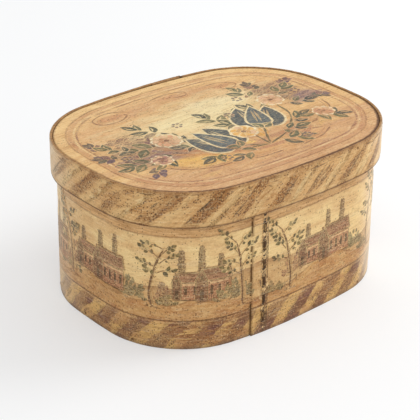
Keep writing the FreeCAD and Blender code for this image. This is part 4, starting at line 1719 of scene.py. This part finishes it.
        def petal(spread, long, wide, colour, strength=1.0):
            belly = base + ahead * length * 0.38 + side * spread * width * 1.15
            tip = base + ahead * length * long + side * spread * width * 1.30
            picture.stroke([base, belly, tip], wide * width, "cup", colour, strength, steps=16,
                           side_cover=0.35)

        for spread, long, wide, colour in ((-0.50, 0.94, 1.36, "435052"), (0.50, 0.94, 1.36, "475457"),
                                           (0.0, 0.98, 1.12, "526063")):
            petal(spread, long + 0.05, wide + 0.24, "e6d3a4", 0.85)
            petal(spread, long, wide, colour)
            for share in (-0.2, 0.2):
                foot = base + ahead * length * 0.22 + side * width * (spread * 0.7 + share * 0.5)
                tip = base + ahead * length * 0.80 + side * width * (spread * 1.2 + share * 0.3)
                picture.stroke([foot, tip], 2.6, "leaf", chance.choice(("2f3c42", "5c6b6e")), 0.5,
                               steps=8)
        for turn in (-0.75, 0.75):
            foot = base - ahead * 4
            lay_leaves(picture, chance, [(foot, angle + turn, 17)], ["566046"], "e6d6a8")

    def bouquet(self, picture, chance):
        greens = ["40493a", "4c543c", "36403a", "585c40", "62623f"]
        halo = "e9dab0"
        stem = "5c5637"
        for x, y, angle in ((2, -64, 2.2), (20, -62, 1.2), (-4, -30, 1.9), (14, -20, 1.3),
                            (52, -48, 0.8)):
            for turn in (-0.3, 0.0, 0.3):
                reach = chance.uniform(26, 40)
                ahead = heading(angle + turn)
                start = Vector((x, y))
                bow = start + ahead * reach * 0.5 + left_of(ahead) * 3
                picture.stroke([start, bow, start + ahead * reach], 12, "leaf",
                               chance.choice(("dfa548", "d59a44", "e8bd6a", "efdcae")), 0.78, 0.15,
                               steps=9)
        for path in ([(10, -78), (-8, -68), (-22, -60)], [(10, -78), (22, -58), (34, -40)],
                     [(10, -78), (-30, -66), (-70, -34), (-84, -14)],
                     [(10, -78), (50, -62), (84, -30), (92, 4)],
                     [(10, -78), (12, -40), (10, -4)], [(84, -30), (104, -36), (118, -44)]):
            picture.ink(path, 2.8, stem, 0.9, steps=20)
        sprays = [(-48, -40, 2.6), (-62, -20, 1.7), (-96, -6, 3.0), (-70, 22, 2.1), (-92, -34, 3.6),
                  (-120, -34, 3.1), (-40, -62, 3.4), (44, -58, -0.1), (72, -46, 0.3), (70, -8, 2.0),
                  (104, -2, -0.2), (112, 24, 0.6), (84, 38, 1.7), (104, -48, -0.5), (8, -6, 1.9),
                  (20, -8, 0.9), (26, -76, -0.3), (-8, -80, 3.3), (30, -22, 2.6), (-126, 0, 2.2)]
        for x, y, angle in sprays:
            leaf_spray(picture, chance, x, y, angle, chance.uniform(21, 28), 3, greens,
                       chance.uniform(19, 24), halo, 0.42)
        self.tulip(picture, chance, -22, -60, 1.90, 62, 27)
        self.tulip(picture, chance, 36, -36, 1.12, 60, 27)
        self.flower(picture, chance, -76, 0, 17, "dba27a", "bf7c54")
        self.flower(picture, chance, 96, 18, 16, "dfae88", "c48560")
        self.flower(picture, chance, 8, -34, 16, "e3aa56", "c2823c", 8)
        self.flower(picture, chance, -112, -38, 12, "b98070", "7c4d48")
        self.flower(picture, chance, 122, -46, 13, "c88a68", "8a5540")
        for x, y in ((-40, 26), (26, 12), (-140, -12), (140, 22), (-52, -76), (60, -84), (66, 44)):
            for index in range(6):
                angle = math.tau * index / 6 + x
                cx, cy = x + 5 * math.cos(angle), y + 5 * math.sin(angle)
                picture.stroke([(cx - 2.3, cy), (cx + 2.3, cy)], 5, "round",
                               chance.choice(("5c4a58", "6f4f56", "4c5458")), 0.9, 0.3, steps=5)


class MakeStage(bpy.types.Operator):
    """Adds the floor, the lamps and the camera"""
    bl_idname = "bentwood.make_stage"
    bl_label = "Stage"

    def execute(self, context):
        studio = context.scene.bentwood.studio
        self.floor()
        self.lamp("key_lamp", (2.0, -0.7, 1.7), 1.6, studio.key_power)
        self.lamp("fill_lamp", (-1.2, -1.9, 1.3), 1.4, studio.key_power * 0.16)
        self.room(context, studio)
        self.camera(context, studio)
        context.scene.view_settings.view_transform = "Standard"
        return {"FINISHED"}

    def floor(self):
        bm = bmesh.new()
        bmesh.ops.create_grid(bm, x_segments=2, y_segments=2, size=9.0)
        mesh = bpy.data.meshes.new("floor")
        bm.to_mesh(mesh)
        bm.free()
        make = Finish("floor_paper")
        matt = make.node("ShaderNodeBsdfDiffuse", values={"Color": (0.950, 0.960, 0.970, 1)})
        glow = make.node("ShaderNodeEmission", values={"Color": (1.0, 1.0, 1.0, 1), "Strength": 1.0})
        seen = make.node("ShaderNodeLightPath", output="Is Camera Ray")
        shader = make.node("ShaderNodeMixShader", values={0: seen * 0.35, 1: matt, 2: glow})
        make.node("ShaderNodeOutputMaterial", values={"Surface": shader})
        mesh.materials.append(make.material)
        floor = bpy.data.objects.new("floor", mesh)
        bpy.context.scene.collection.objects.link(floor)

    def lamp(self, name, place, size, power):
        light = bpy.data.lights.new(name, "AREA")
        light.shape = "DISK"
        light.size = size
        light.energy = power
        lamp = bpy.data.objects.new(name, light)
        lamp.location = place
        lamp.rotation_euler = (Vector((0, 0, 0.08)) - Vector(place)).to_track_quat("-Z", "Y").to_euler()
        bpy.context.scene.collection.objects.link(lamp)

    def room(self, context, studio):
        world = bpy.data.worlds.new("room")
        world.use_nodes = True
        tree = world.node_tree
        tree.nodes.clear()
        even = tree.nodes.new("ShaderNodeBackground")
        even.inputs[0].default_value = (1, 1, 1, 1)
        even.inputs[1].default_value = studio.sky_power
        output = tree.nodes.new("ShaderNodeOutputWorld")
        tree.links.new(even.outputs[0], output.inputs[0])
        context.scene.world = world

    def camera(self, context, studio):
        turn, rise = studio.azimuth, studio.elevation
        back = Vector((math.sin(turn) * math.cos(rise), -math.cos(turn) * math.cos(rise),
                       math.sin(rise)))
        right = Vector((math.cos(turn), math.sin(turn), 0))
        up = back.cross(right)
        tilt = studio.roll
        tilted_right = right * math.cos(tilt) - up * math.sin(tilt)
        tilted_up = right * math.sin(tilt) + up * math.cos(tilt)
        data = bpy.data.cameras.new("photo_camera")
        data.lens = studio.lens
        data.sensor_width = 36
        camera = bpy.data.objects.new("photo_camera", data)
        place = Vector(AIM) + back * studio.distance
        axes = Matrix((tilted_right, tilted_up, back)).transposed()
        camera.matrix_world = Matrix.Translation(place) @ axes.to_4x4()
        context.scene.collection.objects.link(camera)
        context.scene.camera = camera


class BentwoodPanel(bpy.types.Panel):
    """Lists the steps that dress the box"""
    bl_idname = "VIEW3D_PT_bentwood"
    bl_label = "Bentwood box"
    bl_space_type = "VIEW_3D"
    bl_region_type = "UI"
    bl_category = "Bentwood box"

    def draw(self, context):
        settings = context.scene.bentwood
        for step in STEPS:
            self.layout.operator(step.bl_idname)
        for group in (settings.oval, settings.strip, settings.lace, settings.paint, settings.studio):
            box = self.layout.box()
            for name in group.bl_rna.properties.keys():
                if name not in {"rna_type", "name"}:
                    box.prop(group, name)


SETTINGS = (OvalSizes, StripSizes, LaceSizes, PaintColours, StudioSettings, BoxSettings)
STEPS = (MakeStage, BendWall, BendRim, CutTop, LaceSeams, FinishBoardAndPegs, PaintWall, PaintRim,
         PaintTop)


def register():
    for group in SETTINGS + STEPS + (BentwoodPanel,):
        bpy.utils.register_class(group)
    bpy.types.Scene.bentwood = PointerProperty(type=BoxSettings)


def unregister():
    del bpy.types.Scene.bentwood
    for group in reversed(SETTINGS + STEPS + (BentwoodPanel,)):
        bpy.utils.unregister_class(group)


def main():
    register()
    bpy.ops.bentwood.make_stage()
    bpy.ops.bentwood.bend_wall()
    bpy.ops.bentwood.bend_rim()
    bpy.ops.bentwood.cut_top()
    bpy.ops.bentwood.lace_seams()
    bpy.ops.bentwood.finish_board_and_pegs()
    bpy.ops.bentwood.paint_wall()
    bpy.ops.bentwood.paint_rim()
    bpy.ops.bentwood.paint_top()


if __name__ == "__main__":
    main()
